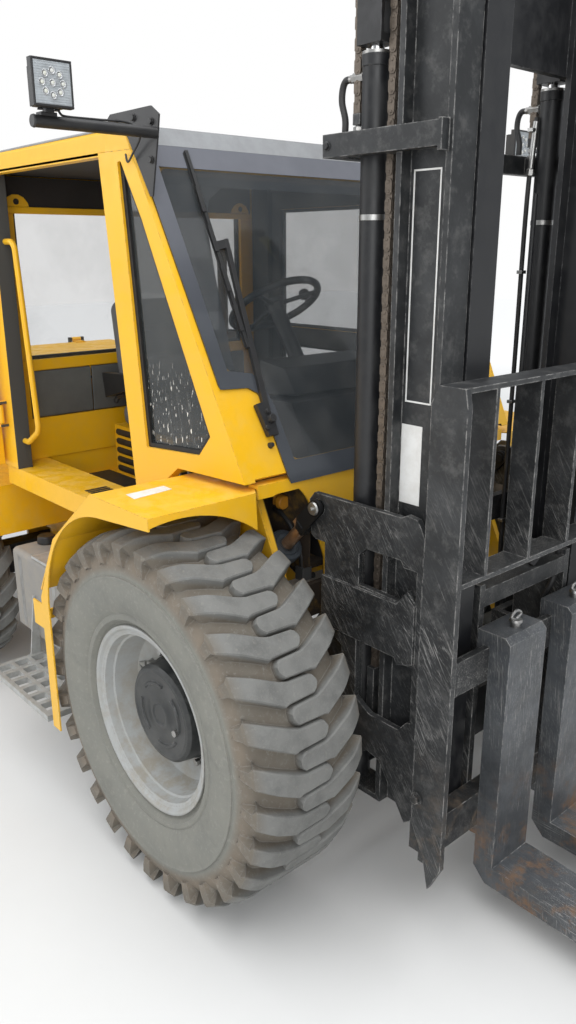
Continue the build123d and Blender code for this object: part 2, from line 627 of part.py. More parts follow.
with BuildPart() as cab_roof:
    block((CAB_REAR_X - 20, AX - 300), (-CAB_HALF_WIDTH, 0), (HEADER_Z, ROOF_TOP))
    plate(quarter_plane(), ((-100, HEADER_Z - 1), (-100, ROOF_TOP + 1), (400, ROOF_TOP + 1),
                            (400, HEADER_Z - 1)), 100,
          Mode.SUBTRACT)
    both_sides()
    fillet(cab_roof.edges().group_by(Axis.Z)[-1].sort_by(Axis.X)[:-1], 18)
    plate(SCREEN, ((-900, -200), (-900, 1500), (900, 1500), (900, -200)), 600, Mode.SUBTRACT)
    block((CAB_REAR_X + 40, AX - 500), (-CAB_HALF_WIDTH + 60, CAB_HALF_WIDTH - 60),
          (HEADER_Z - 1, HEADER_Z + 45),
          Mode.SUBTRACT)
finish(cab_roof, "cab_roof")

with BuildPart() as headliner:
    block((CAB_REAR_X + 40, AX - 500), (-CAB_HALF_WIDTH + 60, CAB_HALF_WIDTH - 60),
          (HEADER_Z + 2, HEADER_Z + 10))
finish(headliner, "headliner")

# Front bulkhead below the windshield
with BuildPart() as front_cowl:
    half = ((0, 860), (-362, 860), (-365, 921), (-370, 1077), (-385, 1120), (-425, 1221))
    with BuildSketch(front_plane(AX + 150)) as bulkhead:
        with BuildLine():
            Polyline(*half)
            ThreePointArc((-425, 1221), (-447, 1300), (-492, 1357))
            Polyline((-492, 1357), (-590, 1357), (-FENDER_IN, 1352), (-COWL_HALF, 1352), (-COWL_HALF, 1398),
                     (0, 1398), (0, 860))
        make_face()
    extrude(bulkhead.sketch, amount=COWL_SHEET)
    both_sides()
    block((AX + 110, AX + 150 + COWL_SHEET), (-COWL_HALF, COWL_HALF), (1386, 1398))
finish(front_cowl, "front_cowl")

with BuildPart() as windshield:
    with BuildSketch(Plane(origin=SCREEN.origin + SCREEN.z_dir * 0.2, x_dir=SCREEN.x_dir,
                           z_dir=SCREEN.z_dir)) as pane:
        with BuildLine():
            FilletPolyline(
                (-541, -18), (-557, 230), (-562, 300), (-600, 324), (-712, 330), (-762, PANE_LENGTH),
                (762, PANE_LENGTH), (712, 330), (600, 324), (562, 300), (557, 230), (541, -18), radius=20,
                close=True,
            )
        make_face()
    extrude(pane.sketch, amount=GLASS)
finish(windshield, "windshield")

with BuildPart() as quarter_glass:
    extrude(quarter_opening(20.0, 0.2), amount=-GLASS)
    both_sides()
finish(quarter_glass, "quarter_glass")

# Rear wall and fixed left wall, each a frame with two panes
with BuildPart() as rear_wall:
    block((CAB_REAR_X + 20, CAB_REAR_X + 60), (-CAB_HALF_WIDTH + POST_WIDE, CAB_HALF_WIDTH - POST_WIDE),
          (FLOOR_TOP, HEADER_Z))
    for low, high in ((1180, 1540), (1640, 2360)):
        block((CAB_REAR_X + 19, CAB_REAR_X + 61), (-640, 640), (low, high), Mode.SUBTRACT)
finish(rear_wall, "rear_wall")

with BuildPart() as rear_glass:
    for low, high in ((1180, 1540), (1640, 2360)):
        block((CAB_REAR_X + 36, CAB_REAR_X + 36 + GLASS), (-639.8, 639.8), (low + 0.2, high - 0.2))
finish(rear_glass, "rear_glass")


def post_rear(z):
    """X of the rear edge of the leaning door posts at a height."""
    return DOOR_POST_X + POST_FOOT - (z - SILL_TOP) * POST_LEAN


def wall_outline(low, high, inset):
    """A side view panel between the rear post and the leaning door post."""
    return (
        (REAR_POST_X + inset, low), (post_rear(low) - POST_SKEW - inset, low),
        (post_rear(high) - POST_SKEW - inset, high), (REAR_POST_X + inset, high),
    )


with BuildPart() as left_wall:
    plate(side_plane(CAB_HALF_WIDTH - 5), wall_outline(SILL_TOP + 52, HEADER_Z - 60, 0.0), 35)
    block((REAR_POST_X, DOOR_POST_X - 40), (CAB_HALF_WIDTH - 40, CAB_HALF_WIDTH - 5),
          (SILL_TOP, SILL_TOP + 60))
    for low, high in SIDE_PANES:
        plate(side_plane(CAB_HALF_WIDTH), wall_outline(low, high, WINDOW_INSET), 45, Mode.SUBTRACT)
finish(left_wall, "left_wall")

with BuildPart() as left_glass:
    for low, high in SIDE_PANES:
        plate(side_plane(CAB_HALF_WIDTH - 19), wall_outline(low + 0.2, high - 0.2, WINDOW_INSET + 0.2),
              GLASS)
finish(left_glass, "left_glass")

# Right door, swung back on its rear hinges
door_turn = math.radians(-DOOR_OPEN_ANGLE)
door_plane = Plane(
    origin=(DOOR_HINGE_X, DOOR_HINGE_Y, 0), x_dir=(math.cos(door_turn), math.sin(door_turn), 0),
    z_dir=(math.sin(door_turn), -math.cos(door_turn), 0),
)
DOOR_TOP = HEADER_Z - 10
DOOR_PANES = ((SILL_TOP + 70, 1640), (1730, HEADER_Z - 90))


def door_reach(z):
    """Distance from the hinge line to the door's front edge at a height."""
    return post_rear(z) + DOOR_LAP - DOOR_HINGE_X


with BuildPart() as cab_door:
    door_outline = (
        (30, SILL_TOP + 10), (30, DOOR_TOP), (door_reach(DOOR_TOP), DOOR_TOP),
        (door_reach(SILL_TOP + 92), SILL_TOP + 92),
        (1020, SILL_TOP + 10),
    )
    inner_face = Plane(origin=door_plane.origin - door_plane.z_dir * 20, x_dir=door_plane.x_dir,
                       z_dir=door_plane.z_dir)
    plate(inner_face, door_outline, 35)
    for low, high in DOOR_PANES:
        right_low = door_reach(low) - WINDOW_INSET - DOOR_LAP
        right_high = door_reach(high) - WINDOW_INSET - DOOR_LAP
        plate(inner_face, ((90, low), (90, high), (right_high, high), (right_low, low)), 35, Mode.SUBTRACT)
    for z in DOOR_HINGE_HEIGHTS:
        plate(inner_face, ((5, z - 35), (5, z + 35), (35, z + 35), (35, z - 35)), 26)
        bar((DOOR_HINGE_X, DOOR_HINGE_Y, z - 42), (DOOR_HINGE_X, DOOR_HINGE_Y, z + 42), 12)
        bar((DOOR_HINGE_X, DOOR_HINGE_Y, z - 43), (DOOR_HINGE_X, DOOR_HINGE_Y, z + 43), 6 + PIN_GAP,
            Mode.SUBTRACT)
finish(cab_door, "cab_door")

with BuildPart() as door_glass:
    pane_face = Plane(origin=door_plane.origin, x_dir=door_plane.x_dir, z_dir=door_plane.z_dir)
    for low, high in DOOR_PANES:
        right_low = door_reach(low) - WINDOW_INSET - DOOR_LAP - 0.2
        right_high = door_reach(high) - WINDOW_INSET - DOOR_LAP - 0.2
        plate(pane_face, ((90.2, low + 0.2), (90.2, high - 0.2), (right_high, high - 0.2),
                          (right_low, low + 0.2)), GLASS)
finish(door_glass, "door_glass")

# Seat, dash and steering wheel
with BuildPart() as seat_cushion:
    block((AX - 1450, AX - 940), (-250, 250), (1300.3, 1430))
    fillet(seat_cushion.edges().filter_by(Axis.Z), 60)
    fillet(seat_cushion.faces().sort_by(Axis.Z)[-1].edges(), 40)
finish(seat_cushion, "seat_cushion")

with BuildPart() as seat_back:
    with BuildSketch(side_plane(240)) as side_view:
        with BuildLine():
            FilletPolyline(*from_axle(((-1340, 1440), (-1420, 1920), (-1530, 1920), (-1480, 1440))),
                           radius=30, close=True)
        make_face()
    extrude(side_view.sketch, amount=480)
    block((AX - 1480, AX - 1460), (-60, 60), (1300, 1460))
finish(seat_back, "seat_back")

WHEEL_CENTRE = Vector(AX - 533, 0, 1910)
COLUMN = Vector(-0.55, 0, 0.835)
with BuildPart() as dash_console:
    with BuildSketch(side_plane(330)) as side_view:
        with BuildLine():
            Polyline(*from_axle(((-120, FLOOR_TOP), (-180, 1480), (-220, 1600), (-60, 1600), (40, 1420),
                                 (100, FLOOR_TOP))),
                     close=True)
        make_face()
    extrude(side_view.sketch, amount=660)
    top = WHEEL_CENTRE - COLUMN * 36
    bar(tuple(top - COLUMN * 640), tuple(top), 32)
finish(dash_console, "dash_console")

with BuildPart() as steering_wheel:
    with BuildSketch(Plane(origin=WHEEL_CENTRE, x_dir=(0, 1, 0),
                           z_dir=COLUMN.cross(Vector(0, 1, 0)))) as grip:
        with Locations((190, 0)):
            Circle(15)
    revolve(grip.sketch, axis=Axis(WHEEL_CENTRE, COLUMN))
    bar(tuple(WHEEL_CENTRE - COLUMN * 35.7), tuple(WHEEL_CENTRE + COLUMN * 12), 34)
    across = COLUMN.cross(Vector(0, 1, 0)).normalized()
    for angle in (90, 210, 330):
        spoke = Vector(0, 1, 0) * math.cos(math.radians(angle)) + across * math.sin(math.radians(angle))
        bar(tuple(WHEEL_CENTRE), tuple(WHEEL_CENTRE + spoke * 182), 9)
finish(steering_wheel, "steering_wheel")

# Grab handles, work lamps and wiper
with BuildPart() as grab_handles:
    y = -CAB_HALF_WIDTH + 45
    bent_tube(
        ((REAR_POST_X, y, 2165), (AX - 1345, y, 2165), (AX - 1275, y, 1365), (AX - 1390, y, 1297),
         (REAR_POST_X, y, 1297)),
        45, 12.5,
    )
finish(grab_handles, "grab_handle")

with BuildPart() as work_lamps:
    plate(quarter_plane(), (
        (25, ROOF_TOP + 23), (45, ROOF_TOP + 39), (252, ROOF_TOP + 45), (290, ROOF_TOP + 18),
        (279, HEADER_Z + 23),
        (242, HEADER_Z - 147), (230, HEADER_Z - 147), (126, HEADER_Z + 42),
    ), 6)
    bar((AX - 200, -CAB_HALF_WIDTH + 24, HEADER_Z + 36), (AX - 200, -LAMP_Y - 40, HEADER_Z + 36), 17)
    block((AX - 216, AX - 184), (-LAMP_Y - 24, -LAMP_Y + 24), (HEADER_Z + 50, HEADER_Z + 60))
    block((AX - 200, AX - 176), (-LAMP_Y - 12, -LAMP_Y + 12), (HEADER_Z + 58, HEADER_Z + 72))
    block((AX - 172, AX - 150), (-LAMP_Y - 60, -LAMP_Y + 60), (HEADER_Z + 68, HEADER_Z + 189))
    block((AX - 198, AX - 172), (-LAMP_Y - 44, -LAMP_Y + 44), (HEADER_Z + 70, HEADER_Z + 173))
    both_sides()
finish(work_lamps, "work_lamps")

with BuildPart() as wiper:
    foot = Plane(origin=SCREEN.origin + SCREEN.z_dir * 6.2, x_dir=SCREEN.x_dir, z_dir=SCREEN.z_dir)
    plate(foot, ((-585, 150), (-600, 262), (-572, 266), (-545, 200), (-545, 150)), 20)
    plate(foot, ((-572, 195), (-521, 840), (-505, 840), (-548, 195)), 14)
    plate(foot, ((-566, 800), (-566, 830), (-508, 840), (-508, 810)), 13)
    plate(foot, ((-561, 457), (-573, 1155), (-561, 1155), (-549, 457)), 12)
finish(wiper, "wiper")

# Engine hood, hinged at the rear
with BuildPart() as engine_hood:
    block((HOOD_REAR_X + 5, HOOD_FRONT_X), (-HOOD_HALF, HOOD_HALF), (HOOD_SPLIT, HOOD_TOP))
    fillet(engine_hood.edges().filter_by(Axis.X).sort_by(Axis.Z)[-2:], 60)
    block((HOOD_REAR_X + 20, HOOD_FRONT_X - 15), (-HOOD_HALF + 15, HOOD_HALF - 15),
          (HOOD_SPLIT - 1, HOOD_TOP - 12),
          Mode.SUBTRACT)
    for y in (-300, 300):
        block((HOOD_REAR_X - 8, HOOD_REAR_X + 60), (y - 30, y + 30), (HOOD_TOP, HOOD_TOP + 8))
        bar((HOOD_REAR_X - 10, y - 30, HOOD_HINGE_Z), (HOOD_REAR_X - 10, y + 30, HOOD_HINGE_Z), 13)
        bar((HOOD_REAR_X - 10, y - 31, HOOD_HINGE_Z), (HOOD_REAR_X - 10, y + 31, HOOD_HINGE_Z), 6 + PIN_GAP,
            Mode.SUBTRACT)
finish(engine_hood, "engine_hood")


# Mast: everything below is drawn with the mast upright, X counted from the front axle
def mast_block(x, y, z, mode=Mode.ADD):
    """A rectangular piece of the mast."""
    block((AX + x[0], AX + x[1]), y, z, mode)


def rail(front, out, width, bottom):
    """One rolled I-section rail of the right side."""
    mast_block((front - RAIL_DEPTH, front - RAIL_DEPTH + FLANGE), (-out, -out + width), (bottom, MAST_TOP))
    mast_block((front - FLANGE, front), (-out, -out + width), (bottom, MAST_TOP))
    middle = -out + width / 2
    mast_block((front - RAIL_DEPTH, front), (middle - WEB / 2, middle + WEB / 2), (bottom, MAST_TOP))


with BuildPart() as mast_outer:
    rail(OUTER_RAIL_FRONT, OUTER_RAIL_OUT, OUTER_RAIL_WIDTH, MAST_FOOT)
    side = from_axle((
        (252, 1225), (242, 1344), (265, 1372), (640, 1374), (660, 1385), (700, 1380), (716, 1359),
        (730, 1330),
        (730, 365), (700, 340), (582, 517), (529, 528), (466, 493), (429, 487), (455, 440), (395, 430),
        (345, 470),
        (345, 540), (400, 700), (400, 870), (315, 924), (317, 1213), (271, 1213),
    ))
    plate(side_plane(-OUTER_RAIL_OUT), side, SIDE_PLATE)
    for window in (
        ((472, 1110), (472, 1212), (502, 1238), (645, 1240), (656, 1220), (708, 1220), (708, 1120),
         (674, 1149), (642, 1105)),
        ((467, 915), (467, 705), (532, 668), (659, 667), (689, 705), (706, 712), (706, 905), (650, 900),
         (640, 915)),
    ):
        plate(side_plane(-OUTER_RAIL_OUT), from_axle(window), SIDE_PLATE, Mode.SUBTRACT)
    plate(side_plane(-OUTER_RAIL_OUT - SIDE_PLATE), from_axle((
        (313, 924), (313, 1100), (640, 1100), (674, 1144), (712, 1112), (712, 920), (650, 898), (640, 920),
    )), 10)
    lobe = (AX + TILT_PIN[0], TILT_PIN[1])
    bar((lobe[0], -530, lobe[1]), (lobe[0], -495, lobe[1]), TILT_HOLE_RADIUS, Mode.SUBTRACT)
    bar((AX + MAST_PIVOT[0], -574, MAST_PIVOT[1]), (AX + MAST_PIVOT[0], -500, MAST_PIVOT[1]), 60)
    bar((AX + MAST_PIVOT[0], -600, MAST_PIVOT[1]), (AX + MAST_PIVOT[0], -570, MAST_PIVOT[1]),
        PIVOT_PIN_RADIUS)
    rail_rear = OUTER_RAIL_FRONT - RAIL_DEPTH
    mast_block((330, rail_rear), (-OUTER_RAIL_OUT, -OUTER_RAIL_OUT + OUTER_RAIL_WIDTH),
               (MAST_FOOT, MAST_FOOT + 20))
    mast_block((300, 718), (-TIE_OUT, -OUTER_RAIL_OUT), (TIE_LOW, TIE_HIGH))
    mast_block((718, 730), (-TIE_OUT, -OUTER_RAIL_OUT + 2), (TIE_LOW - 10, TIE_HIGH + 4))
    mast_block((510, rail_rear), (-OUTER_RAIL_OUT, -OUTER_RAIL_OUT + OUTER_RAIL_WIDTH), (TIE_LOW, TIE_HIGH))
    mast_block((315, 465), (-OUTER_RAIL_OUT, -OUTER_RAIL_OUT + 14), (MAST_FOOT + 250, 1200))
    mast_block((330, 372), (-LIFT_CYLINDER_Y - 12, -LIFT_CYLINDER_Y + 12), (TIE_LOW + 5, TIE_HIGH - 5))
    bar((AX + CHAIN_REAR_X, -LIFT_CYLINDER_Y, TIE_HIGH - 10),
        (AX + CHAIN_REAR_X, -LIFT_CYLINDER_Y, CHAIN_REAR_ANCHOR_Z - 30), 9)
    mast_block((CHAIN_REAR_X - 14, CHAIN_REAR_X + 14), (-LIFT_CYLINDER_Y - 11, -LIFT_CYLINDER_Y + 11),
               (CHAIN_REAR_ANCHOR_Z - 30, CHAIN_REAR_ANCHOR_Z - 0.3))
    both_sides()
    mast_block((300, 336), (-TIE_OUT, TIE_OUT), (TIE_LOW, TIE_HIGH))
    mast_block((315, 345), (-OUTER_RAIL_OUT, OUTER_RAIL_OUT), (1100, 1200))
    mast_block((325, 350), (-OUTER_RAIL_OUT, OUTER_RAIL_OUT), (MAST_FOOT, 470))
finish(mast_outer, "mast_outer")

with BuildPart() as lift_barrels:
    centre = (AX + LIFT_CYLINDER_X, -LIFT_CYLINDER_Y)
    bar((*centre, MAST_FOOT + 20), (*centre, LIFT_BARREL_TOP), LIFT_BARREL_RADIUS)
    bar((*centre, LIFT_BARREL_TOP - 30), (*centre, LIFT_BARREL_TOP), LIFT_BARREL_RADIUS + 2)
    bar((*centre, MAST_FOOT + 60), (*centre, LIFT_BARREL_TOP + 1), LIFT_ROD_RADIUS + 0.3, Mode.SUBTRACT)
    bent_tube(((centre[0] + 35, -LIFT_CYLINDER_Y + 4, 420), (centre[0] + 35, -330, 420),
               (centre[0] + 35, -330, TIE_LOW - 70)), 30, 9)
    both_sides()
finish(lift_barrels, "lift_barrels")

with BuildPart() as mast_inner:
    rail(INNER_RAIL_FRONT, INNER_OUT, INNER_RAIL_WIDTH, MAST_FOOT - 10)
    inner_rear = INNER_RAIL_FRONT - RAIL_DEPTH
    for z in (MAST_FOOT + 60, MAST_TOP - 200):
        bar((AX + OUTER_ROLLER_X, -INNER_WEB_Y, z), (AX + OUTER_ROLLER_X, -OUTER_ROLLER_END, z), 25)
        bar((AX + OUTER_ROLLER_X, -INNER_OUT - RAIL_GAP, z), (AX + OUTER_ROLLER_X, -OUTER_ROLLER_END, z),
            ROLLER_RADIUS)
    mast_block((inner_rear, INNER_RAIL_FRONT + 12), (-INNER_OUT, -INNER_OUT + INNER_RAIL_WIDTH),
               (MAST_TOP, MAST_TOP + 6))
    mast_block((360, 522), (-470, -260), (SHEAVE_BOX_TOP, SHEAVE_BOX_TOP + 25))
    mast_block((520, INNER_RAIL_FRONT), (-INNER_OUT, -INNER_OUT + INNER_RAIL_WIDTH),
               (SHEAVE_BOX_TOP, SHEAVE_BOX_TOP + 25))
    for y in (-416, -476):
        mast_block((375, 465), (y, y + 12), (SHEAVE_BOX_BOTTOM + 20, SHEAVE_BOX_TOP))
    mast_block((375, 465), (-476, -404), (SHEAVE_BOX_BOTTOM, SHEAVE_BOX_BOTTOM + 22))
    bar((AX + LIFT_CYLINDER_X, -476, SHEAVE_Z), (AX + LIFT_CYLINDER_X, -404, SHEAVE_Z), 18)
    both_sides()
    mast_block((inner_rear - 30, inner_rear), (-INNER_OUT, INNER_OUT), (MAST_TOP - 390, MAST_TOP - 80))
    mast_block((inner_rear - 30, inner_rear), (-INNER_OUT, INNER_OUT), (360, 560))
finish(mast_inner, "mast_inner")

with BuildPart() as chain_sheaves:
    axle_x = AX + LIFT_CYLINDER_X
    bar((axle_x, -LIFT_CYLINDER_Y - 18, SHEAVE_Z), (axle_x, -LIFT_CYLINDER_Y + 18, SHEAVE_Z),
        SHEAVE_RADIUS - CHAIN_THICK / 2 - 0.3)
    for side in SIDES:
        y = -LIFT_CYLINDER_Y + side * 15.5
        bar((axle_x, y - 2.5, SHEAVE_Z), (axle_x, y + 2.5, SHEAVE_Z), SHEAVE_RADIUS + 8)
    with BuildSketch(side_plane(-LIFT_CYLINDER_Y + CHAIN_WIDTH / 2 - 2)) as wrap:
        with Locations((axle_x, SHEAVE_Z)):
            Circle(SHEAVE_RADIUS + CHAIN_THICK / 2)
            Circle(SHEAVE_RADIUS - CHAIN_THICK / 2 - 0.3, mode=Mode.SUBTRACT)
        with Locations((axle_x, SHEAVE_Z - 100)):
            Rectangle(400, 200, mode=Mode.SUBTRACT)
    extrude(wrap.sketch, amount=CHAIN_WIDTH - 4)
    bar((AX + LIFT_CYLINDER_X, -480, SHEAVE_Z), (AX + LIFT_CYLINDER_X, -400, SHEAVE_Z), 18.1, Mode.SUBTRACT)
    both_sides()
finish(chain_sheaves, "chain_sheaves")

with BuildPart() as lift_rods:
    centre = (AX + LIFT_CYLINDER_X, -LIFT_CYLINDER_Y)
    bar((*centre, MAST_FOOT + 70), (*centre, SHEAVE_BOX_BOTTOM), LIFT_ROD_RADIUS)
    both_sides()
finish(lift_rods, "lift_rods")

chain_table = (
    ("chain_front_runs", CHAIN_FRONT_X, CHAIN_ANCHOR_Z),
    ("chain_rear_runs", CHAIN_REAR_X, CHAIN_REAR_ANCHOR_Z),
)
for label, x, low in chain_table:
    with BuildPart() as chain:
        mast_block((x - CHAIN_THICK / 2, x + CHAIN_THICK / 2),
                   (-LIFT_CYLINDER_Y - 11, -LIFT_CYLINDER_Y + 11),
                   (low, SHEAVE_Z - 0.3))
        both_sides()
    finish(chain, label)

# Carriage with its rollers, bars and chain bracket
with BuildPart() as carriage:
    outline = from_axle(((560, 290), (560, 1080), (600, 1120), (755, 1120), (755, 250), (600, 250)))
    plate(side_plane(-CARRIAGE_PLATE_IN), outline, CARRIAGE_PLATE)
    for z in (340, 660, 1040):
        bar((AX + INNER_ROLLER_X, -CARRIAGE_PLATE_IN - CARRIAGE_PLATE, z),
            (AX + INNER_ROLLER_X, -INNER_ROLLER_END, z), 45)
        bar((AX + INNER_ROLLER_X, -INNER_OUT + INNER_RAIL_WIDTH - 2, z),
            (AX + INNER_ROLLER_X, -INNER_ROLLER_END, z),
            ROLLER_RADIUS)
    mast_block((470, 560), (-CARRIAGE_PLATE_IN - CARRIAGE_PLATE, -CARRIAGE_PLATE_IN), (620, CHAIN_ANCHOR_Z))
    mast_block((470, 499), (-465, -CARRIAGE_PLATE_IN), (620, CHAIN_ANCHOR_Z - 0.3))
    both_sides()
    for low, high, lip_low, lip_high in (
        (UPPER_BAR_BOTTOM, UPPER_BAR_TOP, UPPER_BAR_BOTTOM, UPPER_LIP_TOP),
        (LOWER_BAR_BOTTOM, LOWER_BAR_TOP, LOWER_LIP_BOTTOM, LOWER_BAR_TOP),
    ):
        block((AX + BAR_BACK, AX + BAR_FRONT), (-BAR_HALF_WIDTH, BAR_HALF_WIDTH), (low, high))
        block((AX + LIP_X, AX + BAR_FRONT), (-BAR_HALF_WIDTH, BAR_HALF_WIDTH), (lip_low, lip_high))
    mast_block((700, 755), (-CARRIAGE_PLATE_IN, CARRIAGE_PLATE_IN), (1040, 1100))
finish(carriage, "carriage")

with BuildPart() as load_backrest:
    post = from_axle(((775, 480), (775, 1740), (800, 1790), (885, 1790), (895, 1740), (895, 300),
                      (850, 205), (830, 300), (775, 420)))
    plate(side_plane(-555), post, 20)
    for y in (-437, -222):
        mast_block((800, 885), (y, y + 14), (BACKREST_BAR_LOW + 15, BACKREST_TOP - 15))
    both_sides()
    mast_block((800, 885), (-7, 7), (BACKREST_BAR_LOW + 15, BACKREST_TOP - 15))
    mast_block((800, 885), (-575, 575), (BACKREST_TOP - 15, BACKREST_TOP))
    mast_block((800, 885), (-575, 575), (BACKREST_BAR_LOW, BACKREST_BAR_LOW + 15))
finish(load_backrest, "load_backrest")

for end, word in ((-1, "right"), (1, "left")):
    with BuildPart() as fork:
        front = FORK_FACE_REACH
        back = BAR_FRONT + 0.3
        profile = from_axle((
            (back, FORK_TOP), (front - 20, FORK_TOP), (front, FORK_TOP - 20), (front, FORK_BOTTOM + 75),
            (front + 60, FORK_BOTTOM + 75), (FORK_REACH, FORK_BOTTOM + 14), (FORK_REACH, FORK_BOTTOM),
            (back + 50, FORK_BOTTOM), (back, FORK_BOTTOM + 50), (back, LOWER_HOOK_LOW),
            (HOOK_BACK, LOWER_HOOK_LOW),
            (HOOK_BACK, LOWER_TOOTH_TOP), (LIP_X - HOOK_PLAY, LOWER_TOOTH_TOP),
            (LIP_X - HOOK_PLAY, LOWER_LIP_BOTTOM - HOOK_PLAY),
            (back, LOWER_LIP_BOTTOM - HOOK_PLAY), (back, UPPER_LIP_TOP + 0.3),
            (LIP_X - HOOK_PLAY, UPPER_LIP_TOP + 0.3),
            (LIP_X - HOOK_PLAY, UPPER_BAR_TOP + 3), (HOOK_BACK, UPPER_BAR_TOP + 3), (HOOK_BACK, FORK_TOP),
        ))
        plate(side_plane(end * FORK_CENTRE_Y + FORK_WIDTH / 2), profile, FORK_WIDTH)
    finish(fork, f"fork_{word}")

# Tilt cylinders
tilt_start = Vector(AX + TILT_REAR_PIN[0], -TILT_CYLINDER_Y, TILT_REAR_PIN[1])
tilt_end = Vector(AX + TILT_PIN[0], -TILT_CYLINDER_Y, TILT_PIN[1])
tilt_way = (tilt_end - tilt_start).normalized()
with BuildPart() as tilt_barrels:
    bar(tuple(tilt_start + tilt_way * 62), tuple(tilt_start + tilt_way * TILT_BARREL_LENGTH),
        TILT_BARREL_RADIUS)
    bar(tuple(tilt_start + tilt_way * 25), tuple(tilt_start + tilt_way * 70), 20)
    bar(tuple(tilt_start + tilt_way * (TILT_BARREL_LENGTH - 50)),
        tuple(tilt_start + tilt_way * TILT_BARREL_LENGTH),
        TILT_BARREL_RADIUS + TILT_GLAND)
    bar(tuple(tilt_start + tilt_way * 80), tuple(tilt_start + tilt_way * (TILT_BARREL_LENGTH + 1)),
        TILT_ROD_RADIUS + 0.3,
        Mode.SUBTRACT)
    bar((tilt_start.X, -TILT_CYLINDER_Y - 22, tilt_start.Z),
        (tilt_start.X, -TILT_CYLINDER_Y + 22, tilt_start.Z), 38)
    bar((tilt_start.X, -TILT_CYLINDER_Y - 26, tilt_start.Z),
        (tilt_start.X, -TILT_CYLINDER_Y + 26, tilt_start.Z),
        TILT_PIN_RADIUS + 0.3, Mode.SUBTRACT)
    both_sides()
finish(tilt_barrels, "tilt_barrels")

with BuildPart() as tilt_rods:
    bar(tuple(tilt_start + tilt_way * TILT_ROD_START), tuple(tilt_end - tilt_way * (TILT_FORK_END + 10)),
        TILT_ROD_RADIUS)
    bar(tuple(tilt_end - tilt_way * TILT_FORK_START), tuple(tilt_end - tilt_way * TILT_FORK_END), 34)
    for side in SIDES:
        y = -TILT_CYLINDER_Y + side * (SIDE_PLATE / 2 + 5)
        with BuildSketch(Plane(origin=(tilt_end.X, y, tilt_end.Z), x_dir=tilt_way,
                               z_dir=(0, side, 0))) as cheek:
            with Locations((-TILT_FORK_START / 2, 0)):
                Rectangle(TILT_FORK_START, 56)
            Circle(28)
        extrude(cheek.sketch, amount=14)
    bar((tilt_end.X, -TILT_CYLINDER_Y - 34, tilt_end.Z), (tilt_end.X, -TILT_CYLINDER_Y + 34, tilt_end.Z),
        TILT_PIN_RADIUS)
    both_sides()
finish(tilt_rods, "tilt_rods")
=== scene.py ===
import math

import bmesh
import bpy
from mathutils import Matrix, Vector


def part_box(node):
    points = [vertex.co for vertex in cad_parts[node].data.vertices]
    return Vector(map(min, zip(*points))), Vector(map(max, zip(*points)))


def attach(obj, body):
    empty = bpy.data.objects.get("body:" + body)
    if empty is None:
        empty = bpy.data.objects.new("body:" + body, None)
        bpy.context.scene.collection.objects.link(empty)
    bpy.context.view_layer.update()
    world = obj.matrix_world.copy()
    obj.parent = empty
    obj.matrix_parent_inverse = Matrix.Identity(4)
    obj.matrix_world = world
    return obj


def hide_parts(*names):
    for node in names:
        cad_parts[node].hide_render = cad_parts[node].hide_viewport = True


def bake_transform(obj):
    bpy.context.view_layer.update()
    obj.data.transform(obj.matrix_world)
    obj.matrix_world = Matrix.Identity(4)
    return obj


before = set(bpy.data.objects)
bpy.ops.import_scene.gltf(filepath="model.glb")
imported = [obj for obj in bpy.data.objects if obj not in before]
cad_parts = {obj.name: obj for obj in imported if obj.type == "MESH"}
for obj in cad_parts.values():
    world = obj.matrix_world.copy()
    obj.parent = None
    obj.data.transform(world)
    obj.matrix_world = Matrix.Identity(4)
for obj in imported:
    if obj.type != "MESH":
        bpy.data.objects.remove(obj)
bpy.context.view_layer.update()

AX = 0.520
RAX = AX - 2.250
SCENE = bpy.context.scene

# Sizes and places shared with the solids, in millimetres forward of the front axle, to the left and above
# the tyres' print. The solids stand RISE higher, on tyres of their full radius.
RISE = 40.0
LUG_HEIGHT = 36.0
FRONT = {"x": 0.0, "z": 615.0, "y": 860.0, "radius": 655.0, "width": 440.0, "rim": 332.0, "lugs": 29,
         "drop": 30.0}
REAR = {"x": -2250.0, "z": 460.0, "y": 860.0, "radius": 500.0, "width": 310.0, "rim": 235.0, "lugs": 20,
        "drop": 24.0}
CHAIN_FRONT_X, CHAIN_REAR_X, CHAIN_Y = 485.0, 355.0, 440.0
CHAIN_ANCHOR_Z, CHAIN_REAR_ANCHOR_Z, SHEAVE_Z = 800.0, 2500.0, 2850.0
CHAIN_PITCH = 25.4
TILT_REAR, TILT_PIN, TILT_Y = (-215.0, 805.0), (285.0, 1325.0), 510.0
SCREEN_FOOT = (160.0, 1400.0)
SCREEN_BACK, SCREEN_UP = 0.432, 0.9019
CAB_HALF, DOOR_POST_X, REAR_PANE_X, REAR_WALL_X = 790.0, -470.0, -1600.0, -1559.5
POST_FOOT, POST_LEAN, SILL_Z = 72.0, 0.0905, 1170.0
QUARTER_ALONG, QUARTER_IN = 0.9942, 0.1077
DOOR_HINGE, DOOR_BACK, DOOR_IN = (-1500.0, -815.0), 0.9848, 0.1736
BARREL_X, EXHAUST_X, EXHAUST_Y = 420.0, -1800.0, 690.0


def at(x, y, z):
    """A point of the frame from millimetres forward of the front axle, to the left and above the print."""
    return Vector((AX + x / 1000.0, y / 1000.0, (z + RISE) / 1000.0))


def row(side, *points):
    """The same for several points, on one side of the machine."""
    return [at(x, side * y, z) for x, y, z in points]


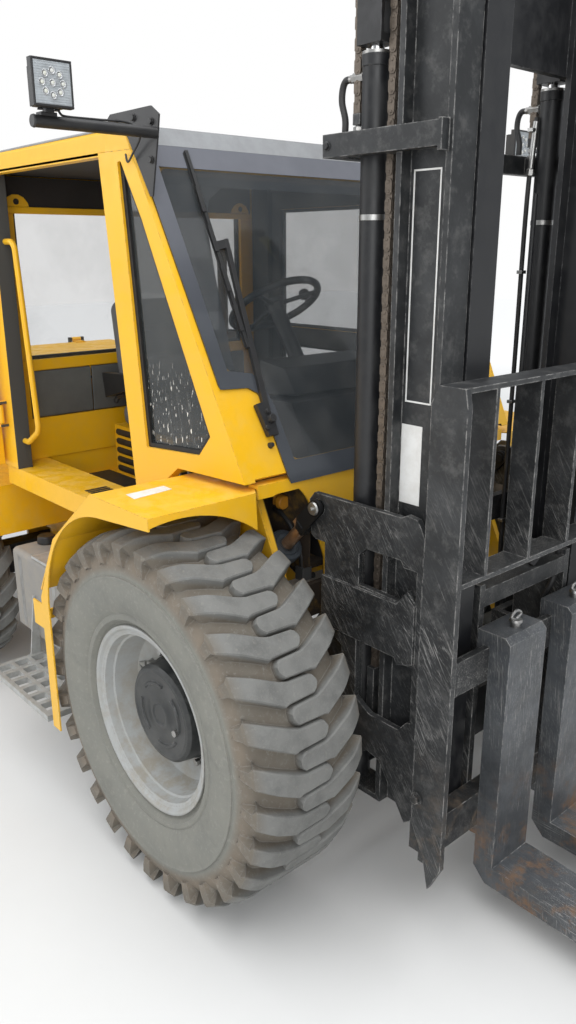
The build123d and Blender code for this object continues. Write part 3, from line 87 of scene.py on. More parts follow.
# Materials
class Mat:
    """A small builder for a procedural material around one Principled shader."""

    def __init__(self, name, base, rough, metal=0.0):
        self.mat = bpy.data.materials.new(name)
        self.mat.use_nodes = True
        self.tree = self.mat.node_tree
        self.shader = self.tree.nodes["Principled BSDF"]
        self.shader.inputs["Metallic"].default_value = metal
        self.color = (*base, 1.0)
        self.rough = rough
        self.normal = None
        self.coord = self.node("ShaderNodeTexCoord").outputs["Object"]

    def put(self, value, socket):
        """Link a socket to what comes out of another node, or give it a constant."""
        if isinstance(value, bpy.types.NodeSocket):
            self.tree.links.new(value, socket)
        else:
            socket.default_value = value

    def node(self, kind, inputs=None, **values):
        n = self.tree.nodes.new(kind)
        for key, value in values.items():
            setattr(n, key, value)
        for key, value in (inputs or {}).items():
            self.put(value, n.inputs[key])
        return n

    def noise(self, scale, detail=4.0, rough=0.55, stretch=None, distort=0.0, turn=0.0):
        source = self.coord
        if turn:
            source = self.node("ShaderNodeMapping",
                               {"Vector": source, "Rotation": (0.0, turn, 0.0)}).outputs[0]
        if stretch:
            source = self.node("ShaderNodeMapping", {"Vector": source, "Scale": stretch}).outputs[0]
        sockets = {"Vector": source, "Scale": scale, "Detail": detail, "Roughness": rough,
                   "Distortion": distort}
        return self.node("ShaderNodeTexNoise", sockets).outputs["Fac"]

    def ramp(self, value, low, high, a=0.0, b=1.0):
        sockets = {"Value": value, "From Min": low, "From Max": high, "To Min": a, "To Max": b}
        return self.node("ShaderNodeMapRange", sockets).outputs[0]

    def math(self, op, *values):
        return self.node("ShaderNodeMath", dict(enumerate(values)), operation=op).outputs[0]

    def times(self, first, *others):
        for other in others:
            first = self.math("MULTIPLY", first, other)
        return first

    def split(self, source):
        return self.node("ShaderNodeSeparateXYZ", {0: source}).outputs

    def axis(self, index):
        return self.split(self.coord)[index]

    def facing(self):
        """The three parts of the surface's own direction."""
        return self.split(self.node("ShaderNodeNewGeometry").outputs["Normal"])

    def over(self, fac, c):
        """Lay a second colour over the first where fac is 1."""
        mix = self.node("ShaderNodeMix", {0: fac, 6: self.color, 7: (*c, 1.0)}, data_type="RGBA")
        self.color = mix.outputs[2]

    def over_rough(self, fac, value):
        mix = self.node("ShaderNodeMix", {0: fac, 2: self.rough, 3: value}, data_type="FLOAT")
        self.rough = mix.outputs[0]

    def bevel(self, radius):
        self.normal = self.node("ShaderNodeBevel", {"Radius": radius}, samples=4).outputs[0]
        return self

    def edges(self, low=0.02, high=0.25):
        """1 near sharp edges, from how far the rounded normal leaves the flat one."""
        rounded_way = self.node("ShaderNodeBevel", {"Radius": 0.006}, samples=4).outputs[0]
        flat_way = self.node("ShaderNodeNewGeometry").outputs["Normal"]
        same = self.node("ShaderNodeVectorMath", {0: rounded_way, 1: flat_way}, operation="DOT_PRODUCT")
        return self.ramp(self.math("SUBTRACT", 1.0, same.outputs["Value"]), low, high)

    def bump(self, height, strength, distance):
        sockets = {"Strength": strength, "Distance": distance, "Height": height}
        if self.normal:
            sockets["Normal"] = self.normal
        self.normal = self.node("ShaderNodeBump", sockets).outputs[0]

    def done(self):
        self.put(self.color, self.shader.inputs["Base Color"])
        self.put(self.rough, self.shader.inputs["Roughness"])
        if self.normal:
            self.put(self.normal, self.shader.inputs["Normal"])
        return self.mat


def painted(name, base, rough, dust, dust_amount, chip, inside=None):
    """Machine paint with soft dust on upward faces, mud low down and worn edges.

    inside says where darkness is added: "cab" darkens the faces that look into the cab, and
    "port" puts painted shade, with some grime, on the walls behind the open ports beside the front axle."""
    m = Mat(name, base, rough).bevel(0.003)
    cloud = m.noise(3.5, 6, 0.6)
    m.over(m.ramp(cloud, 0.35, 0.75, 0.0, 0.22), tuple(c * 0.72 for c in base))
    top = m.ramp(m.facing()[2], 0.35, 0.95)
    speck = m.ramp(m.noise(14, 8, 0.7), 0.42, 0.62)
    film = m.times(m.math("ADD", m.times(top, 0.6), 0.35), speck)
    m.over(m.times(film, dust_amount), dust)
    low = m.ramp(m.axis(2), 1.15, 0.25)
    mud = m.ramp(m.noise(7, 7, 0.7), 0.45, 0.7)
    m.over(m.times(low, mud, dust_amount * 1.6), dust)
    m.over_rough(m.times(film, 0.9), 0.85)
    m.over(m.times(m.edges(), m.ramp(m.noise(45, 5, 0.7), 0.47, 0.6)), chip)
    if inside == "cab":
        # Darker on the faces that look into the cab
        facing = m.facing()
        across = m.times(facing[1], m.axis(1))
        forward = m.times(facing[0], m.math("SUBTRACT", m.axis(0), AX - 0.42))
        inward = m.ramp(m.math("ADD", across, forward), -0.25, -0.30)
        m.over(inward, (0.055, 0.054, 0.050))
        m.over_rough(inward, 0.85)
    if inside == "port":
        depth = m.ramp(m.math("ABSOLUTE", m.axis(1)), 0.581, 0.5755)
        ahead = m.ramp(m.axis(0), AX - 0.45, AX - 0.35)
        behind = m.ramp(m.axis(0), AX + 0.1575, AX + 0.1515)
        below = m.ramp(m.axis(2), 1.438, 1.423)
        place = m.times(m.times(depth, ahead), m.times(behind, below))
        # Painted shade in the recess behind the open ports, with some grime in it
        port_shade_and_grime = m.times(place, m.ramp(m.noise(9, 6, 0.7), 0.30, 0.50, 0.80, 1.0))
        m.over(port_shade_and_grime, (0.030, 0.020, 0.012))
        m.over_rough(port_shade_and_grime, 0.9)
    m.bump(m.noise(160, 3, 0.6), 0.10, 0.0006)
    return m.done()


MACHINE_YELLOW = (0.86, 0.47, 0.010)
CLEAN = (0.30, (0.60, 0.47, 0.22), 0.22, (0.34, 0.18, 0.03))
YELLOW = painted("paint_yellow", MACHINE_YELLOW, *CLEAN, inside="port")
YELLOW_CAB = painted("paint_yellow_cab", MACHINE_YELLOW, *CLEAN, inside="cab")
YELLOW_NOSE = painted("paint_yellow_nose", MACHINE_YELLOW, 0.32, (0.42, 0.30, 0.16), 0.45,
                      (0.30, 0.16, 0.04),
                      inside="port")
BLACK = painted("paint_black", (0.0075, 0.0080, 0.0095), 0.40, (0.12, 0.12, 0.115), 0.22,
                (0.10, 0.10, 0.10))
HUB_BLACK = painted("hub_black", (0.014, 0.016, 0.017), 0.34, (0.16, 0.16, 0.15), 0.30, (0.12, 0.12, 0.12))
RIM_GREY = painted("paint_rim", (0.36, 0.37, 0.365), 0.45, (0.30, 0.275, 0.225), 0.75, (0.22, 0.21, 0.19))
TANK_GREY = painted("paint_tank", (0.26, 0.25, 0.235), 0.6, (0.36, 0.32, 0.26), 0.6, (0.12, 0.11, 0.10))


def tyre_material(name, x, top):
    """Dusty rubber: an olive wall, grey lugs with rubbed edges, and brown dirt in the grooves between them,
    darkened further as painted shade.

    top is the radius over the lugs, and also the height of the wheel's middle."""
    m = Mat(name, (0.185, 0.186, 0.166), 0.84).bevel(0.003)
    base = top - LUG_HEIGHT / 1000
    dx, dz = m.math("SUBTRACT", m.axis(0), x), m.math("SUBTRACT", m.axis(2), top)
    radius = m.math("SQRT", m.math("ADD", m.times(dx, dx), m.times(dz, dz)))
    m.over(m.ramp(m.noise(4.5, 7, 0.65), 0.35, 0.72, 0.0, 0.55), (0.245, 0.240, 0.205))
    m.over(m.ramp(m.noise(8, 6, 0.7), 0.52, 0.74, 0.0, 0.45), (0.115, 0.116, 0.106))
    tread = m.ramp(radius, base - 0.100, base - 0.070)
    # Brown dirt in the grooves, made darker as painted shade between the lugs
    m.over(m.times(tread, m.ramp(m.noise(13, 6, 0.7), 0.35, 0.60, 0.75, 1.0)), (0.148, 0.128, 0.102))
    shoulder = m.times(tread, m.ramp(radius, base - 0.030, base - 0.055))
    m.over(m.times(shoulder, m.ramp(m.noise(9, 6, 0.7), 0.35, 0.60, 0.3, 1.0)), (0.190, 0.158, 0.122))
    crest = m.ramp(radius, base + 0.001, base + 0.020)
    m.over(m.times(crest, 0.95), (0.178, 0.180, 0.172))
    m.over(m.times(crest, m.ramp(m.noise(15, 8, 0.8), 0.45, 0.64, 0.0, 0.85)), (0.108, 0.109, 0.104))
    m.over(m.ramp(m.noise(60, 5, 0.75), 0.54, 0.72, 0.0, 0.45), (0.32, 0.31, 0.28))
    m.over(m.times(m.edges(0.03, 0.4), 0.45), (0.33, 0.32, 0.30))
    m.bump(m.noise(26, 6, 0.7), 0.22, 0.004)
    m.bump(m.noise(150, 5, 0.75), 0.35, 0.0018)
    return m.done()


TYRE_FRONT = tyre_material("tyre_rubber_front", AX, FRONT["radius"] / 1000)
TYRE_REAR = tyre_material("tyre_rubber_rear", RAX, REAR["radius"] / 1000)


def scuffed(name, base, scratch, amount, turn, rust=None, rust_top=0.0, level=False):
    """Worn black paint, with scratches turned from the upright, fewer high up, and rust below rust_top.

    level adds lengthwise scratches on what lies near the ground."""
    m = Mat(name, base, 0.5).bevel(0.003)
    m.over(m.ramp(m.noise(5, 7, 0.7), 0.42, 0.66, 0.0, 0.75), tuple(c * 2.0 + 0.014 for c in base))
    m.over(m.ramp(m.noise(17, 7, 0.75), 0.50, 0.66, 0.0, 0.45), (0.105, 0.104, 0.100))
    long_lines = m.ramp(m.noise(1.0, 4, 0.7, stretch=(260.0, 260.0, 9.0), turn=turn, distort=0.4), 0.56,
                        0.68)
    short_lines = m.ramp(m.noise(1.0, 4, 0.7, stretch=(420.0, 420.0, 40.0), turn=turn + 0.35), 0.57, 0.68)
    lines = m.math("MAXIMUM", long_lines, m.times(short_lines, 0.8))
    if level:
        flat_lines = m.ramp(m.noise(1.0, 3, 0.6, stretch=(9.0, 240.0, 240.0)), 0.58, 0.68)
        lines = m.math("MAXIMUM", lines, m.times(flat_lines, m.ramp(m.axis(2), 0.26, 0.20)))
    patch = m.ramp(m.noise(4.0, 6, 0.7), 0.42, 0.60, 0.10, 1.0)
    lower = m.ramp(m.axis(2), 1.62, 1.15, 0.06, 1.0)
    m.over(m.times(lines, patch, m.times(lower, amount)), scratch)
    m.over(m.times(m.edges(), m.ramp(m.noise(30, 4, 0.7), 0.42, 0.6)), scratch)
    if rust:
        spots = m.times(m.ramp(m.noise(9, 7, 0.75), 0.50, 0.66), m.ramp(m.axis(2), rust_top, 0.12))
        m.over(spots, rust)
        m.over_rough(spots, 0.9)
    m.bump(m.noise(90, 4, 0.6), 0.15, 0.001)
    return m.done()


SCUFF = scuffed("paint_scuffed", (0.012, 0.013, 0.014), (0.42, 0.41, 0.39), 0.85, 0.55,
                (0.17, 0.125, 0.085), 0.75)
SIDE_BLACK = scuffed("paint_side_plates", (0.010, 0.011, 0.012), (0.36, 0.355, 0.34), 0.75, 0.60)
FORK = scuffed("fork_steel", (0.045, 0.049, 0.054), (0.40, 0.39, 0.37), 0.85, 0.06, (0.20, 0.11, 0.055),
               0.55, True)


def plain(name, base, rough, metal=0.0, spot=None, scale=20.0, grain=300.0, bump=0.1):
    """A simple surface with its own soft variation and fine grain."""
    m = Mat(name, base, rough, metal).bevel(0.002)
    m.over(m.ramp(m.noise(scale, 6, 0.65), 0.4, 0.72, 0.0, 0.6), spot or tuple(c * 0.6 for c in base))
    m.bump(m.noise(grain, 3, 0.6), bump, 0.0005)
    return m.done()


CHROME = plain("rod_chrome", (0.62, 0.62, 0.62), 0.14, 1.0, (0.40, 0.38, 0.35), 9.0)
STEEL = plain("bare_steel", (0.42, 0.42, 0.41), 0.38, 1.0, (0.22, 0.20, 0.18))
GALV = plain("galvanised", (0.50, 0.51, 0.50), 0.5, 0.6, (0.30, 0.28, 0.25), 30.0)
CHAIN = plain("chain_steel", (0.165, 0.135, 0.108), 0.5, 0.55, (0.050, 0.040, 0.033), 60.0)


def rod_material():
    """The tilt rods: a rusty bronze shaft with a blackened fork at its head."""
    m = Mat("rod_bronze", (0.36, 0.22, 0.13), 0.32, 0.7).bevel(0.002)
    m.over(m.ramp(m.noise(22, 6, 0.65), 0.4, 0.72, 0.0, 0.7), (0.17, 0.09, 0.05))
    m.over(m.ramp(m.noise(60, 6, 0.7), 0.55, 0.70, 0.0, 0.6), (0.42, 0.33, 0.25))
    fork = m.ramp(m.axis(0), AX + 0.194, AX + 0.198)
    m.over(fork, (0.018, 0.018, 0.019))
    m.over_rough(fork, 0.55)
    return m.done()


ROD_BRONZE = rod_material()
CAP_ORANGE = plain("cap_orange", (0.62, 0.27, 0.02), 0.5, 0.0, (0.38, 0.16, 0.03), 40.0)
GLAND = plain("gland_steel", (0.060, 0.070, 0.082), 0.42, 0.4, (0.030, 0.034, 0.040), 30.0)
SHEAVE_YELLOW = plain("sheave_nylon", (0.55, 0.47, 0.10), 0.5, 0.0, (0.32, 0.27, 0.08), 22.0)
REAR_TRIM = plain("rear_trim", (0.115, 0.118, 0.112), 0.85, 0.0, (0.080, 0.082, 0.080), 8.0, 500.0, 0.4)
DARK_TRIM = plain("dark_trim", (0.022, 0.018, 0.016), 0.85, 0.0, (0.035, 0.030, 0.028), 8.0)
IRON = plain("engine_iron", (0.07, 0.07, 0.07), 0.7)
EXHAUST = plain("exhaust_steel", (0.10, 0.085, 0.075), 0.6, 0.5)
PLASTIC = plain("black_plastic", (0.018, 0.018, 0.019), 0.42, 0.0, (0.035, 0.034, 0.032), 12.0, 500.0, 0.25)
RUBBER = plain("hose_rubber", (0.016, 0.016, 0.017), 0.55, 0.0, (0.05, 0.048, 0.045), 25.0)
CLOTH = plain("seat_cloth", (0.16, 0.165, 0.175), 0.9, 0.0, (0.10, 0.10, 0.105), 18.0, 700.0, 0.5)
WHITE = plain("panel_white", (0.78, 0.78, 0.76), 0.4, 0.0, (0.60, 0.58, 0.54), 20.0)


def glass_material(name, tint, cover, dust=0.30, splash=False):
    """Thin flat glazing: mostly see-through, tinted, with a clear reflection and a film of dust."""
    m = Mat(name, tint, 0.02)
    cloud = m.ramp(m.noise(3.0, 6, 0.65), 0.40, 0.78)
    specks = m.ramp(m.noise(70, 5, 0.75), 0.62, 0.72)
    film = m.times(m.math("MAXIMUM", m.times(cloud, 0.55), specks), dust)
    m.over(film, (0.42, 0.40, 0.36))
    m.over_rough(film, 0.5)
    alpha = m.math("ADD", m.times(film, 0.45), cover)
    if splash:
        drops = m.ramp(m.noise(1.0, 3, 0.55, stretch=(130.0, 130.0, 30.0)), 0.635, 0.655)
        drops = m.times(drops, m.ramp(m.axis(2), 1.84, 1.70))
        m.over(drops, (0.75, 0.74, 0.70))
        alpha = m.math("MAXIMUM", alpha, drops)
    m.put(alpha, m.shader.inputs["Alpha"])
    m.shader.inputs["Specular IOR Level"].default_value = 0.7
    return m.done()


CLEAR = glass_material("clear_glass", (0.16, 0.18, 0.18), 0.16)
TINTED = glass_material("tinted_glass", (0.036, 0.044, 0.050), 0.34)
QUARTER = glass_material("quarter_tint", (0.030, 0.035, 0.036), 0.66, 0.25, True)


def frit_material():
    """The printed edge of the windshield, with a painted reflection of the sky that is lighter higher up.
    """
    m = Mat("glass_frit", (0.045, 0.050, 0.058), 0.12)
    # Painted reflection of the sky: lighter higher up
    m.over(m.ramp(m.axis(2), 1.85, 2.40, 0.0, 0.9), (0.165, 0.170, 0.195))
    m.over(m.ramp(m.noise(5, 5, 0.6), 0.35, 0.70, 0.0, 0.3), (0.075, 0.082, 0.092))
    return m.done()


FRIT = frit_material()
LENS = plain("lamp_lens", (0.40, 0.43, 0.45), 0.16, 0.0, (0.20, 0.21, 0.22), 30.0, 900.0, 0.5)
TINT_BAND = glass_material("tint_band", (0.060, 0.068, 0.078), 0.62)
SEAL = plain("seal_rubber", (0.012, 0.012, 0.013), 0.6, 0.0, (0.030, 0.029, 0.028), 30.0)
BAND_GREY = plain("band_grey", (0.30, 0.31, 0.32), 0.5, 0.0, (0.22, 0.22, 0.225), 16.0)
RED = plain("buckle_red", (0.50, 0.02, 0.015), 0.4, 0.0, (0.25, 0.01, 0.01), 30.0)
LAMP_CUP = plain("lamp_cup", (0.70, 0.71, 0.72), 0.18, 0.9, (0.45, 0.46, 0.47), 80.0)
LAMP_CELL = plain("lamp_cell", (0.62, 0.63, 0.61), 0.15, 0.0, (0.70, 0.70, 0.50), 120.0)
DIAL = plain("dial_face", (0.35, 0.36, 0.36), 0.3, 0.0, (0.02, 0.02, 0.02), 90.0)
HEADLINER = plain("headliner_cloth", (0.030, 0.029, 0.030), 0.9, 0.0, (0.045, 0.043, 0.043), 12.0, 420.0,
                  0.4)

LOOK = {
    YELLOW: ["cab_roof", "cab_floor", "front_cowl", "rear_wall", "cab_door", "fenders", "engine_hood",
             "grab_handle"],
    YELLOW_CAB: ["cab_frame", "left_wall"],
    YELLOW_NOSE: ["chassis_frame"],
    SIDE_BLACK: ["mast_outer"],
    BLACK: ["mast_inner", "lift_barrels", "counterweight", "front_axle", "rear_axle", "rear_knuckle_left",
            "rear_knuckle_right", "radiator_grille", "tilt_barrels"],
    SCUFF: ["carriage", "load_backrest"],
    FORK: ["fork_left", "fork_right"],
    RIM_GREY: ["rim_front_left", "rim_front_right", "rim_rear_left", "rim_rear_right"],
    CLEAR: ["rear_glass", "left_glass", "door_glass"],
    QUARTER: ["quarter_glass"],
    TINTED: ["windshield"],
    CHROME: ["lift_rods"],
    ROD_BRONZE: ["tilt_rods"],
    CHAIN: ["chain_front_runs", "chain_rear_runs"],
    SHEAVE_YELLOW: ["chain_sheaves"],
    TANK_GREY: ["side_tanks"],
    GALV: ["steps"],
    IRON: ["engine_block"],
    EXHAUST: ["exhaust"],
    HEADLINER: ["headliner"],
    CLOTH: ["seat_cushion", "seat_back"],
    PLASTIC: ["dash_console", "steering_wheel", "work_lamps", "wiper"],
    TYRE_FRONT: ["tyre_front_left", "tyre_front_right"],
    TYRE_REAR: ["tyre_rear_left", "tyre_rear_right"],
}
for mat, nodes in LOOK.items():
    for node in nodes:
        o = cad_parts[node]
        if not o.material_slots:
            o.data.materials.append(mat)
        for s in o.material_slots:
            s.material = mat


class Shape:
    """Collects the closed surfaces of one piece."""

    def __init__(self):
        self.bm = bmesh.new()

    def loft(self, rings, caps=True, around=True):
        rows = [[self.bm.verts.new(p) for p in ring] for ring in rings]
        count = len(rows[0])
        for a, b in zip(rows, rows[1:]):
            for i in range(count if around else count - 1):
                j = (i + 1) % count
                self.bm.faces.new((a[i], a[j], b[j], b[i]))
        if caps:
            self.bm.faces.new(rows[0][::-1])
            self.bm.faces.new(rows[-1])
        return self

    def side(self, outline, y0, y1):
        """A plate seen from the side: outline of (x, z) between two values of y."""
        return self.loft([[at(x, y, z) for x, z in outline] for y in (y0, y1)])

    def face(self, outline, x0, x1):
        """A plate seen from the front: outline of (y, z) between two values of x."""
        return self.loft([[at(x, y, z) for y, z in outline] for x in (x0, x1)])

    def box(self, x, y, z):
        return self.side(((x[0], z[0]), (x[1], z[0]), (x[1], z[1]), (x[0], z[1])), y[0], y[1])

    def rod(self, start, end, radius, count=16, far=None, chamfer=0.0):
        """A round or many-sided bar, tapered to another radius where one is given."""
        a, b = Vector(start), Vector(end)
        way = (b - a).normalized()
        far = radius if far is None else far
        stops = [(a, radius - chamfer), (a + way * chamfer, radius), (b - way * chamfer, far),
                 (b, far - chamfer)]
        if not chamfer:
            stops = [(a, radius), (b, far)]
        return self.loft([circle(p, way, r, count) for p, r in stops])

    def lathe(self, profile, centre, way, count=64, caps=True):
        """A turned form: profile of (distance along the axle, radius), in metres."""
        way = Vector(way).normalized()
        return self.loft([circle(centre + way * d, way, r, count) for d, r in profile], caps)

    def hoop(self, profile, centre, way, count=96):
        """A turned ring whose profile closes on itself."""
        self.lathe(profile + profile[:1], centre, way, count, caps=False)
        bmesh.ops.remove_doubles(self.bm, verts=self.bm.verts, dist=1e-6)
        return self

    def tube(self, points, radius, count=10, steps=6):
        """A smooth tube through a few points."""
        line = smooth_line([Vector(p) for p in points], steps)
        rings = []
        u = (line[1] - line[0]).orthogonal().normalized()
        for i, p in enumerate(line):
            way = (line[min(i + 1, len(line) - 1)] - line[max(i - 1, 0)]).normalized()
            u = (u - way * u.dot(way)).normalized()
            rings.append(circle(p, way, radius, count, u))
        return self.loft(rings)

    def bolts(self, centres, way, radius, height):
        """Hexagon heads, each with a washer."""
        way = Vector(way).normalized()
        for c in centres:
            self.rod(c, c + way * height * 0.25, radius * 1.25, 14)
            self.rod(c + way * height * 0.25, c + way * height, radius, 6, radius, radius * 0.12)
        return self

    def bare(self, name):
        """An object of these surfaces alone, with no material or body yet."""
        bmesh.ops.recalc_face_normals(self.bm, faces=self.bm.faces)
        mesh = bpy.data.meshes.new(name)
        self.bm.to_mesh(mesh)
        self.bm.free()
        piece = bpy.data.objects.new(name, mesh)
        SCENE.collection.objects.link(piece)
        return piece

    def make(self, name, material, body="chassis", slot="black_plastic", replaces=(), bevel=0.0,
             angle=38.0):
        """Turn the surfaces into a piece that rides on a body, or on none."""
        piece = self.bare(name)
        mesh = piece.data
        mesh.polygons.foreach_set("use_smooth", [True] * len(mesh.polygons))
        mesh.set_sharp_from_angle(angle=math.radians(angle))
        mesh.materials.append(material)
        if bevel:
            edge = piece.modifiers.new("edge", "BEVEL")
            edge.width = bevel
            edge.segments = 2
            edge.limit_method = "ANGLE"
            edge.angle_limit = math.radians(angle)
            edge.harden_normals = True
        if body:
            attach(piece, body)
        if replaces:
            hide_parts(*replaces)
        return piece


def shapes(count):
    return [Shape() for _ in range(count)]


def turns(count):
    return [2 * math.pi * i / count for i in range(count)]


def circle(centre, way, radius, count, start=None):
    """Points around a direction, from a start that is square to it."""
    u = start or way.orthogonal().normalized()
    v = way.cross(u)
    return [centre + (u * math.cos(t) + v * math.sin(t)) * radius for t in turns(count)]


def smooth_line(points, steps):
    """Points along a curve through the given ones."""
    ends = [points[0] * 2 - points[1]] + points + [points[-1] * 2 - points[-2]]
    line = []
    for a, b, c, d in zip(ends, ends[1:], ends[2:], ends[3:]):
        for i in range(steps):
            t = i / steps
            line.append(0.5 * (2 * b + (c - a) * t + (2 * a - 5 * b + 4 * c - d) * t * t
                               + (3 * b - a - 3 * c + d) * t ** 3))
    line.append(points[-1])
    return line


# Tyres: a lathed carcass with rings on its wall, and lugs lofted from the shoulder to past the middle
LUG_LOW = ((-0.27, 0.15), (-0.235, 0.05), (-0.19, -0.01), (0.26, -0.03), (0.33, -0.06), (0.69, 0.25),
           (1.0, 0.52))
LUG_HIGH = ((-0.27, 0.27), (-0.235, 0.36), (-0.19, 0.40), (0.18, 0.42), (0.30, 0.47), (0.72, 0.79),
            (1.0, 1.02))
LUG_STOPS = (-0.27, -0.235, -0.19, -0.08, 0.05, 0.18, 0.26, 0.33, 0.43, 0.56, 0.69, 0.80, 0.90, 0.97)
LUG_CHAMFER = 0.0045
LUG_FLARE = 0.045


def along(chain, u):
    """Height of a chain of points at u."""
    for (u0, v0), (u1, v1) in zip(chain, chain[1:]):
        if u <= u1:
            return v0 + (v1 - v0) * (u - u0) / (u1 - u0)
    return chain[-1][1]


# The tyre's half section, from the bead to the middle of the tread: share of the half width, share of the
# wall's height, and metres added
TREAD_ROWS = (
    (0.25, 1.0), (0.50, 0.985), (0.75, 0.945), (0.86, 0.88), (0.92, 0.79), (0.950, 0.70), (0.960, 0.64),
)
WALL_ROWS = (
    (0.78, 0.0, -0.026), (0.80, 0.0, 0.010), (0.86, 0.03, 0.010), (0.895, 0.08, 0.0), (0.90, 0.13, 0.0),
    (0.885, 0.155, 0.0), (0.92, 0.19, 0.0), (0.965, 0.30, 0.0), (0.99, 0.42, 0.0), (0.995, 0.53, 0.0),
    (0.985, 0.575, 0.0), (0.992, 0.590, 0.001), (0.995, 0.605, 0.001), (0.990, 0.618, 0.0),
    (0.962, 0.622, 0.0),
)


def carcass_profile(w):
    """Half section of the tyre as (out, radius) in metres."""
    half, rim_radius = w["width"] / 2000, w["rim"] / 1000
    wall = (w["radius"] - LUG_HEIGHT) / 1000 - rim_radius
    rows = WALL_ROWS + tuple((a, b, 0.0) for a, b in TREAD_ROWS[::-1])
    return [(a * half, rim_radius + b * wall + c) for a, b, c in rows]


def tread_radius(w, u):
    """Radius of the carcass under the lugs, at a share of the half width."""
    rim_radius = w["rim"] / 1000
    wall = (w["radius"] - LUG_HEIGHT) / 1000 - rim_radius
    return rim_radius + wall * along(TREAD_ROWS, max(u, TREAD_ROWS[0][0]))


def tyre(name, w, side, body):
    centre = at(w["x"], side * w["y"], w["z"])
    half, top = w["width"] / 2000, w["radius"] / 1000
    base = top - LUG_HEIGHT / 1000
    profile = carcass_profile(w)
    shape = Shape()
    ring = [(side * o, r) for o, r in profile] + [(-side * o, r) for o, r in profile[::-1]]
    shape.hoop(ring, centre, (0, 1, 0), 120)
    pitch = 2 * math.pi / w["lugs"]
    drop = w["drop"] / 1000

    def spot(out, radius, turn):
        return centre + Vector((math.cos(turn) * radius, side * out, math.sin(turn) * radius))

    def crown(u):
        return top - 0.003 - drop * max(0.0, (abs(u) - 0.66) / 0.34) ** 1.4

    for half_side in (1, -1):
        for i in range(w["lugs"]):
            start = pitch * (i + (0.5 if half_side < 0 else 0.0))
            rings = []
            stops = []
            for u in LUG_STOPS:
                foot = min(u * 0.99, 0.84)
                stops.append((u, u * half, crown(u), foot * half, tread_radius(w, abs(foot)) - 0.008,
                              along(LUG_LOW, u), along(LUG_HIGH, u)))
            stops.append((1.0, half - 0.0005, base - 0.006, half * 0.80, base - 0.035, 0.58, 0.89))
            stops.append((1.0, half - 0.001, base - 0.034, half * 0.86, base - 0.048, 0.585, 0.87))
            stops.append((1.0, half - 0.006, base - 0.066, half * 0.90, base - 0.068, 0.60, 0.84))
            for u, out, radius, low_out, low_radius, low, high in stops:
                cut = min(LUG_CHAMFER / (top * pitch), (high - low) * 0.3)
                section = ((low_out, low_radius, low - LUG_FLARE), (out, radius - LUG_CHAMFER, low),
                           (out * 0.995, radius, low + cut), (out * 0.995, radius, high - cut),
                           (out, radius - LUG_CHAMFER, high), (low_out, low_radius, high + LUG_FLARE))
                rings.append([spot(half_side * o, r, start + pitch * share) for o, r, share in section])
            shape.loft(rings)
    shape.make("worn_" + name, TYRE_FRONT if w is FRONT else TYRE_REAR, body, "tyre_rubber", (name,),
               angle=26)


WHEELS = (
    # node, sizes, side, body
    ("tyre_front_right", FRONT, -1, "front_wheel_right"), ("tyre_front_left", FRONT, 1, "front_wheel_left"),
    ("tyre_rear_right", REAR, -1, "rear_wheel_right"), ("tyre_rear_left", REAR, 1, "rear_wheel_left"),
)
for node, sizes, side, body in WHEELS:
    tyre(node, sizes, side, body)


# The hub cap's side above its flange: share of its reach, and share of its radius
HUB_ROWS = ((0.30, 0.99), (0.62, 0.96), (0.70, 0.90), (0.72, 0.84), (0.70, 0.80), (0.70, 0.34),
            (0.73, 0.30), (0.73, 0.22),
            (0.70, 0.19), (0.70, 0.06))


def wheel_way(turn):
    """A direction square to the axle."""
    return Vector((math.cos(turn), 0, math.sin(turn)))


